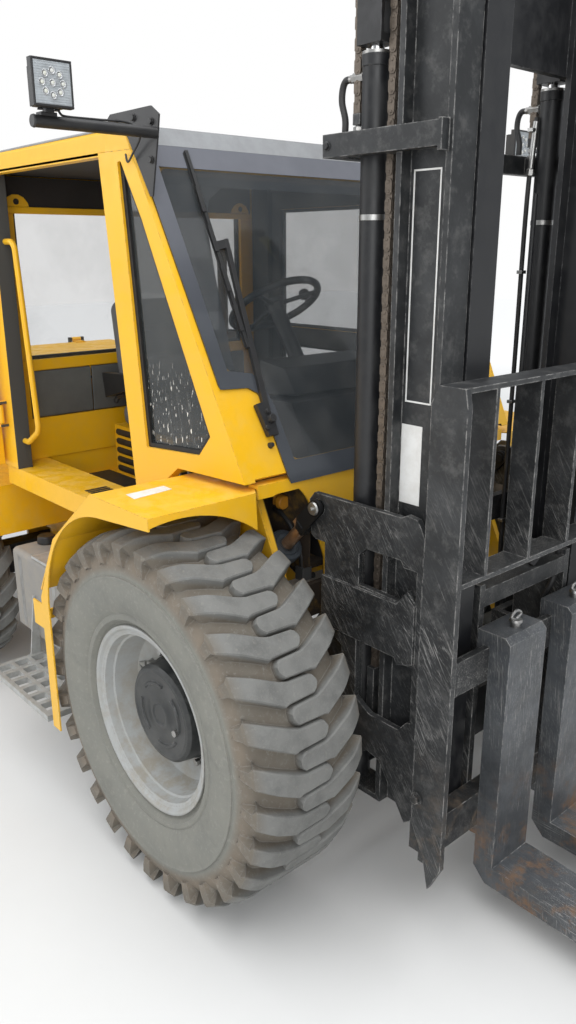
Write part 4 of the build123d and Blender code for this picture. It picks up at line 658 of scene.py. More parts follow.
# Rims: a stepped and dished rim, wheel nuts, the black cap of the hub's gears, its plug and a hand hole
def rim(node, w, side, body):
    centre = at(w["x"], side * w["y"], w["z"])
    r, wide = w["rim"] / 1000, w["width"] / 1000
    lip = 0.39 * wide
    out = Vector((0, side, 0))
    back = 0.030 if w is FRONT else 0.020
    profile = [
        (-lip, r - 0.034), (-lip - 0.012, r - 0.030), (-lip - 0.014, r), (-lip - 0.005, r),
        (-lip, r - 0.028),
        (lip, r - 0.028), (lip + 0.003, r - 0.006), (lip + 0.006, r), (lip + 0.0135, r),
        (lip + 0.0145, r - 0.006),
        (lip + 0.012, r - 0.013), (lip + 0.004, r - 0.020), (lip - 0.002, r - 0.036),
        (lip - 0.030, r - 0.042),
        (lip - 0.034, r - 0.050), (0.45 * lip, r - 0.056), (back + 0.022, 0.80 * r),
        (back + 0.009, 0.70 * r),
        (back + 0.009, 0.30 * r), (back - 0.009, 0.30 * r), (back - 0.009, 0.72 * r),
        (0.2 * lip, r - 0.066),
        (0.0, r - 0.040),
    ]
    dish = Shape().hoop(profile, centre, out, 96)
    dish.make("dished_" + node, RIM_GREY, body, "rim_grey", (node,), angle=24)
    face = back + 0.009
    ring = 0.60 * r
    nuts = [centre + out * face + wheel_way(t) * ring for t in turns(12 if w is FRONT else 8)]
    Shape().bolts(nuts, out, 0.013, 0.022).make("nuts_" + node, STEEL, body, "rim_grey")
    cap = 0.545 * r
    reach = 0.128 if w is FRONT else 0.082
    hub_side = [(face - 0.012, cap * 1.02), (face + 0.012, cap * 1.02), (face + 0.016, cap)]
    hub_side += [(face + share * reach, cap * wide_share) for share, wide_share in HUB_ROWS]
    hub = Shape().lathe(hub_side, centre, out, 72)
    for middle in (20, 110, 200, 290):
        arc = [math.radians(middle + 6 * k) for k in range(-5, 6)]
        hub.loft([[centre + out * (face + h * reach) + wheel_way(t) * cap * share
                   for h,
                   share in ((0.69, 0.66), (0.735, 0.645), (0.735, 0.60), (0.69, 0.585))] for t in arc])
    hub.make("hub_cap_" + node, HUB_BLACK, body, "paint_black", angle=30)
    plug = centre + out * (face + 0.71 * reach) + Vector((0.52, 0, -0.16)) * cap
    plugs = Shape().rod(plug - out * 0.03, plug + out * 0.010, 0.014, 6, 0.013, 0.002)
    hole = centre + out * (face + 0.001) + Vector((-0.70, 0, 0.20)) * r
    corners = [wheel_way(math.radians(k)) for k in (170, 290, 50)]
    plugs.loft([[hole + out * h + c * 0.10 * r * s for c in corners]
                for h, s in ((0.0, 1.0), (0.010, 1.0), (0.010, 0.72), (0.002, 0.66))])
    plugs.make("plug_" + node, STEEL, body, "rim_grey")


for node, sizes, side, body in WHEELS:
    rim(node.replace("tyre", "rim"), sizes, side, body)


# Lift chains: pins with alternating rows of link plates
CHAIN_ROWS = ((-9.5, -3.4, 3.4, 9.5), (-6.5, 0.0, 6.5))
LINK_OUTLINE = ((-6.0, -1.0), (6.0, -1.0), (12.5, 0.15), (12.5, 0.85), (6.0, 2.0), (-6.0, 2.0),
                (-12.5, 0.85),
                (-12.5, 0.15))


def chain_run(name, node, x, low, high, anchored_low):
    shape = Shape()
    count = int((high - low) / CHAIN_PITCH)
    pitch = (high - low) / count
    for side in (-1, 1):
        y = side * CHAIN_Y
        for i in range(count):
            z = low + i * pitch
            for offset in CHAIN_ROWS[i % 2]:
                outline = []
                for across, up in LINK_OUTLINE:
                    if up < 0:
                        z_at = z - 9.0
                    elif up > 1:
                        z_at = z + pitch + 9.0
                    else:
                        z_at = z + pitch * (up - 0.5) * 1.5 + pitch / 2
                    outline.append((x + across, min(max(z_at, low), high)))
                shape.side(outline, y + offset - 1.3, y + offset + 1.3)
            if i:
                shape.rod(at(x, y - 12.5, z), at(x, y + 12.5, z), 0.0045, 6)
    piece = shape.make(name, CHAIN, None, "chain_steel", (node,))
    if anchored_low:
        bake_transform(piece)
    else:
        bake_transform(piece)


chain_run("leaf_chain_front", "chain_front_runs", CHAIN_FRONT_X, CHAIN_ANCHOR_Z, SHEAVE_Z - 0.3, False)
chain_run("leaf_chain_rear", "chain_rear_runs", CHAIN_REAR_X, CHAIN_REAR_ANCHOR_Z, SHEAVE_Z - 0.3, True)

# Chain ends, lift cylinder bands, hoses and fittings of the mast
anchors, bands, lines, fittings, nuts = shapes(5)
for side in (-1, 1):
    y = side * CHAIN_Y
    anchors.rod(at(CHAIN_FRONT_X, y, CHAIN_ANCHOR_Z - 150), at(CHAIN_FRONT_X, y, CHAIN_ANCHOR_Z - 18),
                0.009, 12)
    anchors.box((CHAIN_FRONT_X - 13, CHAIN_FRONT_X + 13), (y - 13, y + 13),
                (CHAIN_ANCHOR_Z - 30, CHAIN_ANCHOR_Z - 2))
    for z in (2218, 2640):
        bands.rod(at(BARREL_X, y, z - 8), at(BARREL_X, y, z + 8), 0.0415, 40)
    for z in (CHAIN_REAR_ANCHOR_Z - 70, CHAIN_REAR_ANCHOR_Z - 48):
        nuts.rod(at(CHAIN_REAR_X, y, z), at(CHAIN_REAR_X, y, z + 14), 0.016, 6, 0.016, 0.002)
    fittings.rod(at(375, y, 2592), at(330, y, 2592), 0.015, 6, 0.015, 0.002)
    fittings.rod(at(340, y, 2592), at(318, y, 2592), 0.011, 12)
    lines.tube([at(x, y, z) for x,
                z in ((322, 2592), (300, 2590), (288, 2570), (286, 2535), (300, 2490), (300, 2450))],
               0.010)
    lines.tube(row(side, (392, 398, 2560), (384, 388, 2300), (386, 386, 1700), (384, 390, 1000),
                   (392, 398, 640)), 0.0085)
    fittings.rod(*row(side, (386, 392, 2392), (391, 397, 2548)), 0.0105, 14)
    fittings.rod(*row(side, (385, 391, 2372), (386, 392, 2396)), 0.0145, 6, 0.0145, 0.002)
    for z in (2520, 2050, 1580, 1110, 700):
        fittings.box((374, 396), (side * 386 - 14, side * 386 + 14), (z - 6, z + 6))
anchors.make("chain_anchor_bolts", STEEL, "carriage_body", "chain_steel", bevel=0.0015)
bands.make("lift_barrel_bands", STEEL, "mast", "rod_chrome")
nuts.make("rear_chain_nuts", STEEL, "mast", "rod_chrome")
fittings.make("mast_hose_fittings", STEEL, "mast", "rod_chrome", bevel=0.001)
lines.make("mast_hoses", RUBBER, "mast", "black_plastic")

# A bare framed panel and a bare label on each outer rail
PANEL = ((586, 682), (1706, 2336))
for side, word in ((-1, "right"), (1, "left")):
    y = side * 460.3
    (x0, x1), (z0, z1) = PANEL
    panel = Shape()
    across = (x0 + 5, x1 - 5)
    for xs, zs in (((x0, x0 + 5), (z0, z1)), ((x1 - 5, x1), (z0, z1)), (across, (z0, z0 + 5)),
                   (across, (z1 - 5, z1))):
        panel.box(xs, (y, y + side * 1.2), zs)
    panel.make("panel_frame_" + word, WHITE, "mast", "paint_black")
    Shape().box((577, 655), (y, y + side * 0.9), (1400, 1640)).make("bare_label_" + word, WHITE, "mast",
                                                                    "paint_black")

# Fasteners of the mast, with grease nipples at its pivots
heads = Shape()
for side in (-1, 1):
    out = (0, side, 0)
    heads.bolts([at(318, side * 530, 2411)], out, 0.011, 0.009)
    heads.rod(*row(side, (400, 600, 500), (400, 606, 500)), 0.036, 24, 0.034)
    heads.rod(*row(side, (400, 604, 500), (400, 614, 500)), 0.006, 8)
heads.make("mast_bolts", BLACK, "mast", "paint_black")

# Tilt cylinders: glands with cap screws, wiper rings, pin keepers and eye caps
way = (at(TILT_PIN[0], 0, TILT_PIN[1]) - at(TILT_REAR[0], 0, TILT_REAR[1])).normalized()
gland, ring, keepers = shapes(3)
for side in (-1, 1):
    foot = at(TILT_REAR[0], side * TILT_Y, TILT_REAR[1])
    gland.lathe([(0.436, 0.0542), (0.440, 0.060), (0.4715, 0.062), (0.4770, 0.0595), (0.4785, 0.056),
                 (0.4785, 0.048),
                 (0.4755, 0.0465), (0.4755, 0.0425), (0.4785, 0.041), (0.4785, 0.030), (0.4765, 0.0225)],
                 foot, way, 64)
    ring.lathe([(0.4768, 0.0285), (0.4812, 0.0275), (0.4812, 0.0226)], foot, way, 40)
    for i in range(4):
        spin = math.radians(45 + 90 * i)
        side_way = Vector((0, math.cos(spin), 0)) + way.cross(Vector((0, 1, 0))) * math.sin(spin)
        gland.rod(foot + way * 0.445 + side_way * 0.0600, foot + way * 0.468 + side_way * 0.0600, 0.004, 6)
    pin = at(TILT_REAR[0], side * (TILT_Y + 50), TILT_REAR[1])
    keepers.rod(pin, pin + Vector((0, side * 0.006, 0)), 0.024, 24, 0.022)
gland.make("tilt_glands", GLAND, "tilt_cylinder", "paint_black", angle=30)
ring.make("tilt_wipers", PLASTIC, "tilt_cylinder", "rod_chrome", angle=30)
keepers.make("tilt_pin_keepers", STEEL, "chassis", "rod_chrome")
caps = Shape()
for side in (-1, 1):
    end = at(TILT_PIN[0], side * (TILT_Y + 34), TILT_PIN[1])
    caps.rod(end - Vector((0, side * 0.001, 0)), end + Vector((0, side * 0.006, 0)), 0.023, 24, 0.020)
    caps.rod(end + Vector((0, side * 0.006, 0)), end + Vector((0, side * 0.014, 0)), 0.006, 8)
caps.make("tilt_eye_caps", STEEL, "tilt_rod", "rod_chrome")

# Hoses, valve blocks and an orange filler cap behind each open port
pipes, valves, filler = shapes(3)
for side in (-1, 1):
    pipes.tube(row(side, (-60, 430, 1060), (20, 425, 1130), (90, 425, 1100), (105, 420, 1010)), 0.013)
    pipes.tube(row(side, (-70, 400, 1075), (0, 395, 1020), (70, 390, 985), (115, 380, 1000)), 0.011)
    pipes.tube(row(side, (-110, 400, 1180), (-40, 425, 1225), (40, 430, 1190), (85, 425, 1110)), 0.010)
    valves.box((-140, -62), (side * 415 - 45, side * 415 + 30), (1045, 1100))
    valves.box((80, 122), (side * 415 - 25, side * 415 + 20), (990, 1040))
    filler.rod(*row(side, (8, 445, 1268), (32, 445, 1268)), 0.027, 24, 0.025, 0.003)
    filler.rod(*row(side, (-10, 445, 1268), (8, 445, 1268)), 0.016, 12)
    filler.box((-18, -8), (side * 445 - 14, side * 445 + 14), (1254, 1340))
pipes.make("port_hoses", RUBBER)
valves.make("port_valves", IRON, "chassis", "engine_iron", bevel=0.003)
filler.make("port_cap", CAP_ORANGE, "chassis", "paint_yellow", bevel=0.001)


# Flat places of the cab, each as a function of two distances on it and a height above it
def pane(y, up, out=0.0):
    """A point on the windshield's plane."""
    x = SCREEN_FOOT[0] - SCREEN_BACK * up + SCREEN_UP * out
    return at(x, y, SCREEN_FOOT[1] + SCREEN_UP * up + SCREEN_BACK * out)


def quarter(side):
    """Points on one front side panel, counted from the door post."""
    def place(run, z, out=0.0):
        return at(DOOR_POST_X + QUARTER_ALONG * run + QUARTER_IN * out,
                  side * (CAB_HALF - QUARTER_IN * run + QUARTER_ALONG * out), z)
    return place


def door_place(run, z, out=0.0):
    """Points on the swung door, counted from its hinge line."""
    return at(DOOR_HINGE[0] - DOOR_BACK * run - DOOR_IN * out,
              DOOR_HINGE[1] - DOOR_IN * run + DOOR_BACK * out, z)


def inset(outline, gap):
    """The outline moved inwards by a gap."""
    area = sum(a[0] * b[1] - b[0] * a[1] for a, b in zip(outline, outline[1:] + outline[:1]))
    turn = 1 if area > 0 else -1
    moved = []
    for before, here, after in zip(outline[-1:] + outline[:-1], outline, outline[1:] + outline[:1]):
        a = (Vector(here) - Vector(before)).normalized()
        b = (Vector(after) - Vector(here)).normalized()
        na, nb = Vector((-a.y, a.x)) * turn, Vector((-b.y, b.x)) * turn
        miter = (na + nb).normalized()
        moved.append(tuple(Vector(here) + miter * (gap / max(0.35, miter.dot(na)))))
    return moved


def border(shape, place, outline, inner, low, high):
    """A raised flat ring between an outline and an inner one, which may be given as a gap."""
    if isinstance(inner, (int, float)):
        inner = inset(outline, inner)
    loops = [[place(u, v, h) for u, v in line] for line, h in
             ((outline, low), (outline, high), (inner, high), (inner, low), (outline, low))]
    shape.loft(loops, caps=False)
    bmesh.ops.remove_doubles(shape.bm, verts=shape.bm.verts, dist=1e-6)


def flat(shape, place, outline, low, high):
    """A flat plate over an outline."""
    shape.loft([[place(u, v, h) for u, v in outline] for h in (low, high)])


def mirrored(half):
    """A whole outline from the half on the right, with its other half turned round."""
    return half + [(-y, up) for y, up in half[::-1]]


# Windshield: printed border with a painted sky reflection, light band at the head and a tinted shade behind
# the glass
PANE_TOP = 1236.0
BAND_LOW = 1172.0
GLASS_OUT = 6.3
frit = Shape()
outer = mirrored([(-541, -18), (-557, 230), (-562, 300), (-600, 324), (-712, 330), (-758.5, BAND_LOW)])
inner = mirrored([(-496, 58), (-511, 248), (-530, 320), (-564, 370), (-662, 389), (-690, 1096)])
border(frit, pane, outer, inner, GLASS_OUT, GLASS_OUT + 0.6)
frit.make("windshield_border", FRIT)
band = Shape()
edge_y = 712 + 50 * (BAND_LOW - 330) / (PANE_TOP - 330)
flat(band, pane, [(-edge_y, BAND_LOW), (-762, PANE_TOP), (762, PANE_TOP), (edge_y, BAND_LOW)], GLASS_OUT,
     GLASS_OUT + 0.9)
band.make("windshield_top_band", BAND_GREY, "chassis", "tank_grey")
shade = Shape()
curve = mirrored([(-664, 392), (-628, 392), (-592, 700), (-560, 900), (-520, 990), (-450, 1036)])
flat(shade, pane, curve + [(690, 1094), (-690, 1094)], -0.9, -0.3)
shade.make("windshield_shade", TINT_BAND, "chassis", "clear_glass")

# Seals around the side, rear and door panes, and the door's handle
WINDOW = [(61, 2407), (135, 1460), (412, 1473), (471, 1545), (172, 2227), (78, 2407)]
seals = Shape()
for side in (-1, 1):
    border(seals, quarter(side), WINDOW, 15, -20, -10)
    border(seals, quarter(side), WINDOW, 13, -32, -26)


def post_rear(z):
    """The slanted rear edge of the door post."""
    return DOOR_POST_X + POST_FOOT - (z - SILL_Z) * POST_LEAN


def left_place(x, z, out=0.0):
    return at(x, CAB_HALF + out, z)


def rear_place(y, z, out=0.0):
    return at(REAR_PANE_X - out, y, z)


for low, high in ((1250, 1640), (1730, 2330)):
    pane_corners = [(-1370, low), (post_rear(low) - 70, low), (post_rear(high) - 70, high), (-1370, high)]
    border(seals, left_place, pane_corners, 16, -21, -4)
for low, high in ((1180, 1540), (1640, 2360)):
    border(seals, rear_place, [(-640, low), (640, low), (640, high), (-640, high)], 16, -18, 1)
seals.make("window_seals", SEAL)
door_seals, door_parts = shapes(2)
for low, high in ((1240, 1640), (1730, 2350)):
    ends = [post_rear(z) - DOOR_HINGE[0] - 60 for z in (low, high)]
    corners = [(90, low), (ends[0], low), (ends[1], high), (90, high)]
    border(door_seals, door_place, corners, 15, 5.5, 11)
    border(door_seals, door_place, corners, 15, -12, -0.5)
door_seals.make("door_seals", SEAL, "door", "black_plastic")
for out in (15.0, -20.0):
    turn = 1 if out > 0 else -1
    flat(door_parts, door_place, [(955, 1660), (1035, 1660), (1035, 1712), (955, 1712)], out,
         out + turn * 6)
    grip = ((965, 5), (965, 34), (1000, 38), (1030, 30))
    door_parts.tube([door_place(run, 1686, out + turn * off) for run, off in grip], 0.008)
door_parts.make("door_handle", PLASTIC, "door", "black_plastic", bevel=0.0015)

# Cab lining: a padded panel over the lower rear window, a dark header with its yellow rail and brackets
lining, header, rails = shapes(3)
for i in range(4):
    y0 = -640 + i * 320
    pad_side = [(REAR_WALL_X, 1368), (-1550, 1372), (-1546, 1384), (-1546, 1574), (-1550, 1586),
                (REAR_WALL_X, 1590)]
    lining.side(pad_side, y0 + 3, y0 + 317)
header.box((REAR_WALL_X, -1552), (-700, 700), (2313, 2437))
rails.box((REAR_WALL_X, -1542), (-704, 704), (2284, 2312.5))
rails.box((REAR_WALL_X, -1548), (-700, 700), (1592, 1642))
rails.box((REAR_WALL_X, -1552), (-700, 700), (1170, 1366))
for y in (-628, 628):
    rails.face([(y + across, z) for across,
                z in mirrored([(-62, 2310), (-56, 2330), (-38, 2352), (-14, 2364)])],
               -1552, -1546)
    header.rod(at(-1546.5, y, 2334), at(-1544, y, 2334), 0.013, 20)
lining.make("rear_padding", REAR_TRIM, bevel=0.004)
header.make("rear_header_trim", DARK_TRIM)
rails.make("rear_header_rail", YELLOW, "chassis", "paint_yellow", bevel=0.002)

# Roof trim: a grey seal under the edge, drip rails and the far header's lug
trim = Shape()
for side in (-1, 1):
    trim.box((-1600, -470), (side * 786, side * 790), (2433, 2441))
    trim.tube(row(side, (-1590, 782, 2506), (-900, 783, 2509), (-480, 783, 2509)), 0.0045, 8, 3)
trim.make("roof_seals", BAND_GREY, "chassis", "tank_grey")
lug = Shape()
lug.side([(-620, 2380), (-560, 2380), (-545, 2405), (-560, 2428), (-620, 2428)], 732, 738)
lug.bolts([at(-585, 732, 2404)], (0, -1, 0), 0.009, 0.008)
lug.make("header_lug", YELLOW, "chassis", "paint_yellow", bevel=0.001)

# Work lamps: a ribbed lens with nine cells, cooling fins, clamp, plate bolts and a loop of wire
LAMP_Y, LAMP_Z, LENS_X = 1126.0, 2568.5, -148.6
CELL_RING, FORWARD = 31, Vector((1, 0, 0))
bezel, glazing, cells, lens, fins, wires = shapes(6)
for side in (-1, 1):
    y = side * LAMP_Y
    for ys, zs in (((-60, 60), (-60.5, -54)), ((-60, 60), (54, 60.5)), ((-60, -54), (-54, 54)),
                   ((54, 60), (-54, 54))):
        bezel.box((-150.2, -147), (y + ys[0], y + ys[1]), (LAMP_Z + zs[0], LAMP_Z + zs[1]))
    glazing.box((-149.95, LENS_X), (y - 54, y + 54), (LAMP_Z - 54, LAMP_Z + 54))
    for i in range(17):
        glazing.box((LENS_X, -148.1), (y - 52, y + 52), (LAMP_Z - 52 + i * 6.4, LAMP_Z - 50.4 + i * 6.4))
    spots = [(0.0, 0.0)] + [(CELL_RING * math.cos(t), CELL_RING * math.sin(t)) for t in turns(8)]
    for column, up in spots:
        c = at(-148.4, y + column, LAMP_Z + up)
        cells.hoop([(0.0, 0.0100), (0.0014, 0.0106), (0.0014, 0.0098), (0.0004, 0.0060), (0.0, 0.0060)], c,
                   FORWARD, 20)
        lens.lathe([(0.0004, 0.0056), (0.0012, 0.0052), (0.0018, 0.0038), (0.0021, 0.0016)], c, FORWARD, 16)
    for i in range(9):
        yy = y - 44 + i * 11
        fins.box((-206, -172), (yy - 1.5, yy + 1.5), (2512, 2612))
    fins.box((-176, -171), (y - 46, y + 46), (2509, 2616))
    fins.bolts([at(-186, y + side_y * 25, 2504) for side_y in (-1, 1)], (0, 0, 1), 0.007, 0.008)
    place = quarter(side)
    fins.bolts([place(run, z, 6) for run, z in ((70, 2522), (165, 2528), (252, 2510), (244, 2400))],
               place(0, 0, 1) - place(0, 0, 0), 0.010, 0.009)
    fins.rod(*row(side, (-200, 1166, 2476), (-200, 1172, 2476)), 0.0185, 20, 0.0165)
    wires.tube(row(side, (-180, 1100, 2512), (-196, 1085, 2500), (-205, 1060, 2496), (-206, 960, 2497),
                   (-206, 860, 2497),
                   (-236, 800, 2470), (-300, 792, 2420), (-330, 792, 2400), (-350, 786, 2425)), 0.0035, 8)
bezel.make("lamp_bezels", PLASTIC, bevel=0.002)
glazing.make("lamp_lenses", LENS, "chassis", "clear_glass")
cells.make("lamp_cups", LAMP_CUP, "chassis", "rod_chrome", angle=20)
lens.make("lamp_cells", LAMP_CELL, "chassis", "rod_chrome")
fins.make("lamp_fins", PLASTIC)
wires.make("lamp_wires", RUBBER)

# Wiper: blade rubber, links, pivot cap and washer jet
wiper = Shape()
flat(wiper, pane, [(-565, 462), (-577, 1150), (-571, 1150), (-559, 462)], 6.4, 9.5)
for up in (560, 700, 840, 980):
    y = -561 - 0.0175 * (up - 457)
    flat(wiper, pane, [(y - 7, up - 45), (y + 9, up - 45), (y + 9, up + 45), (y - 7, up + 45)], 17.5, 21.5)
wiper.bolts([pane(-566, 232, 26), pane(-588, 178, 26)], pane(0, 0, 1) - pane(0, 0, 0), 0.008, 0.009)
wiper.rod(pane(-560, 205, 26), pane(-560, 205, 42), 0.017, 20, 0.013)
wiper.rod(pane(-575, 122, 0), pane(-575, 122, 16), 0.011, 14, 0.007)
wiper.make("wiper_fittings", PLASTIC)

# Bare fender label and the bolts of the nose plates
Shape().loft([[at(x, y, 1385 + h) for x, y in ((-85, -1018), (-23, -1025), (-39, -872), (-92, -870))]
              for h in (0.2, 0.9)]).make("bare_fender_label", WHITE, "chassis", "paint_yellow")
body_bolts = Shape()
for side in (-1, 1):
    body_bolts.bolts([at(x, side * 600, z) for x,
                      z in ((-40, 1180), (-40, 1080), (240, 760), (300, 640), (-420, 980))],
                     (0, side, 0), 0.011, 0.009)
body_bolts.make("body_bolts", STEEL, "chassis", "paint_yellow")


# Seat pads: a rounded block, blown up a little as cloth, with its sewn channels cut afterwards
PAD_CORNER, PAD_LIMIT = 0.055, 0.007
PAD_VOXEL, QUICK_VOXEL = 0.006, 0.009
PAD_PRESSURE, PAD_FRAMES = 4.0, 20
CHANNEL_HALF, CHANNEL_DEEP, CHANNEL_REACH = 0.014, 0.010, 0.05


def block_rings(outline, levels):
    """Rings of one outline, scaled about its middle at each level."""
    cx = sum(p[0] for p in outline) / len(outline)
    cy = sum(p[1] for p in outline) / len(outline)
    return [[(cx + (x - cx) * s, cy + (y - cy) * s, z) for x, y in outline] for z, s in levels]


def rounded(half_x, half_y, radius, steps=6):
    points = []
    for cx, cy, start in ((1, 1, 0), (-1, 1, 90), (-1, -1, 180), (1, -1, 270)):
        for i in range(steps + 1):
            t = math.radians(start + 90 * i / steps)
            points.append((cx * (half_x - radius) + radius * math.cos(t),
                           cy * (half_y - radius) + radius * math.sin(t)))
    return points


def swell(piece):
    """Remesh the pad, run it as cloth with a little pressure, and keep each point near where it was."""
    remesh = piece.modifiers.new("even", "REMESH")
    remesh.mode = "VOXEL"
    remesh.voxel_size = PAD_VOXEL
    depsgraph = bpy.context.evaluated_depsgraph_get()
    even = bpy.data.meshes.new_from_object(piece.evaluated_get(depsgraph))
    piece.modifiers.clear()
    piece.data = even
    before = [v.co.copy() for v in even.vertices]
    cloth = piece.modifiers.new("cloth", "CLOTH")
    cloth.settings.use_pressure = True
    cloth.settings.uniform_pressure_force = PAD_PRESSURE
    cloth.settings.effector_weights.gravity = 0.0
    cloth.settings.quality = 4
    for f in range(1, PAD_FRAMES + 1):
        SCENE.frame_set(f)
    depsgraph = bpy.context.evaluated_depsgraph_get()
    blown = bpy.data.meshes.new_from_object(piece.evaluated_get(depsgraph))
    for v, start in zip(blown.vertices, before):
        move = v.co - start
        if move.length > PAD_LIMIT:
            v.co = start + move * (PAD_LIMIT / move.length)
    piece.modifiers.clear()
    piece.data = blown
    SCENE.frame_set(1)


def pad(name, node, to_frame, half_x, half_y, levels, channels):
    """A seat pad in flat coordinates of its own, with channels as (axis, place, from, to) on its face."""
    shape = Shape()
    rings = block_rings(rounded(half_x, half_y, PAD_CORNER), levels)
    shape.loft([[Vector(p) for p in ring] for ring in rings])
    piece = shape.bare(name)
    swell(piece)
    top = max(v.co.z for v in piece.data.vertices)
    for v in piece.data.vertices:
        if v.co.z < top - CHANNEL_REACH:
            continue
        for axis, place, low, high in channels:
            other = v.co[1 - axis]
            gap = abs(v.co[axis] - place)
            if gap < CHANNEL_HALF and low < other < high:
                v.co.z -= CHANNEL_DEEP * (1 - (gap / CHANNEL_HALF) ** 2)
    for v in piece.data.vertices:
        v.co = to_frame @ v.co
    piece.data.polygons.foreach_set("use_smooth", [True] * len(piece.data.polygons))
    piece.data.materials.clear()
    piece.data.materials.append(CLOTH)
    fine = piece.modifiers.new("fine", "SUBSURF")
    fine.levels = fine.render_levels = 1
    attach(piece, "chassis")
    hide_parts(node)


low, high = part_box("seat_cushion")
middle = (Vector(low) + Vector(high)) / 2
thick = high[2] - low[2]
pad("seat_pad", "seat_cushion", Matrix.Translation((middle.x, middle.y, low[2])),
    (high[0] - low[0]) / 2 - 0.006,
    (high[1] - low[1]) / 2 - 0.006,
    ((0.004, 0.93), (0.02, 0.985), (0.06, 1.0), (thick - 0.045, 0.985), (thick - 0.02, 0.93),
     (thick - 0.010, 0.80)),
    ((1, -0.13, -0.22, 0.22), (1, 0.13, -0.22, 0.22), (0, -0.12, -0.13, 0.13), (0, 0.04, -0.13, 0.13)))
back_foot, back_head = at(-1410, 0, 1452), at(-1472, 0, 1912)
rise = (back_head - back_foot).normalized()
facing = Vector((rise.z, 0, -rise.x))
turn = Matrix((rise, Vector((0, 1, 0)), facing)).transposed().to_4x4()
turn.translation = (back_foot + back_head) / 2 - facing * 0.052
pad("seat_back_pad", "seat_back", turn, (back_head - back_foot).length / 2 - 0.004, 0.232,
    ((0.0, 0.90), (0.014, 0.97), (0.045, 1.0), (0.078, 0.97), (0.094, 0.88)),
    ((1, -0.12, -0.20, 0.20), (1, 0.12, -0.20, 0.20), (0, -0.06, -0.12, 0.12), (0, 0.08, -0.12, 0.12)))

# Seat frame, armrests, belt and bellows base
base, bellows, belt, buckle = shapes(4)
base.box((-1462, -1458), (-190, 190), (1330, 1460))
base.box((-1500, -1470), (-60, 60), (1300, 1470))
for side in (-1, 1):
    armrest = [(-1470, 1440), (-1180, 1520), (-1150, 1545), (-1165, 1575), (-1210, 1575), (-1490, 1560)]
    base.side(armrest, side * 262, side * 296)
    base.rod(*row(side, (-1470, 240, 1470), (-1470, 280, 1470)), 0.020, 18)
base.make("seat_frame", PLASTIC, bevel=0.004)
for i in range(5):
    z = 1062 + i * 46
    bellows.loft([[at(-1220 + x * s, y * s, z + dz) for x, y in rounded(262, 252, 30)] for dz, s in
                  ((0, 0.985), (12, 1.012), (24, 1.012), (40, 0.985))])
bellows.make("seat_bellows", RUBBER)
belt.tube(row(-1, (-1420, 268, 1420), (-1395, 262, 1452), (-1330, 258, 1462), (-1250, 262, 1440),
              (-1220, 268, 1400)),
          0.012, 6)
belt.make("seat_belt", RUBBER)
buckle.box((-1262, -1225), (-290, -262), (1420, 1478))
buckle.make("belt_buckle", RED, bevel=0.004)

# Controls: levers with knobs, instrument pod with dials, pedals, steering hub with its spinner knob
levers, knobs, pod, dials = shapes(4)
for i, y in enumerate((-300, -345, -390)):
    levers.rod(at(-700, y, 1180), at(-760 - 12 * i, y, 1560), 0.0065, 10)
    knobs.lathe([(0.0, 0.010), (0.008, 0.019), (0.022, 0.023), (0.036, 0.019), (0.044, 0.008)],
                at(-760 - 12 * i, y, 1555),
                (-0.14, 0, 1), 18)
levers.box((-760, -640), (-420, -270), (1060, 1190))
pod.side([(-310, 1590), (-360, 1680), (-330, 1725), (-190, 1705), (-120, 1610)], -250, 250)
pod.side([(-190, 1480), (-240, 1600), (-120, 1600), (-100, 1480)], -326, 326)
for y, r in ((-120, 0.042), (0, 0.055), (120, 0.042)):
    centre = at(-338, y, 1640)
    dials.lathe([(0.0, r), (0.010, r), (0.012, r * 0.93), (0.006, r * 0.90)], centre, (-0.874, 0, 0.485),
                28)
for y in (-170, 40, 190):
    pod.side([(-330, 1075), (-420, 1240), (-432, 1236), (-345, 1070)], y - 38, y + 38)
    pod.rod(at(-378, y, 1150), at(-260, y, 1240), 0.009, 10)
levers.make("lift_levers", STEEL, bevel=0.002)
knobs.make("lever_knobs", PLASTIC)
pod.make("instrument_pod", PLASTIC, bevel=0.006)
dials.make("instrument_dials", DIAL)
hub_centre = at(-533, 0, 1910)
column = Vector((-0.55, 0, 0.835)).normalized()
wheel_hub = Shape()
for profile, centre, count in (
        ([(0.0, 0.040), (0.012, 0.044), (0.020, 0.040), (0.024, 0.026), (0.025, 0.010)], hub_centre, 32),
        ([(0.008, 0.008), (0.020, 0.008), (0.026, 0.020), (0.045, 0.024), (0.060, 0.018), (0.066, 0.006)],
         hub_centre + Vector((0, 0.186, 0)), 20)):
    wheel_hub.lathe(profile, centre, column, count)
wheel_hub.make("steering_hub", PLASTIC, "steering", "black_plastic")

# Floor mat with its ribs, and the vents of the side ledges
mat, vents = shapes(2)
mat.box((-1540, -620), (-560, -262), (1050, 1056))
mat.box((-940, -620), (-262, 560), (1050, 1056))
for i in range(14):
    x = -930 + i * 22
    mat.box((x, x + 8), (-540, 540), (1056, 1058.5))
for side in (-1, 1):
    for i in range(9):
        x = -900 + i * 24
        vents.box((x, x + 13), (side * 740, side * 640), (1170, 1172.5))
mat.make("floor_mat", RUBBER)
vents.make("ledge_vents", PLASTIC)

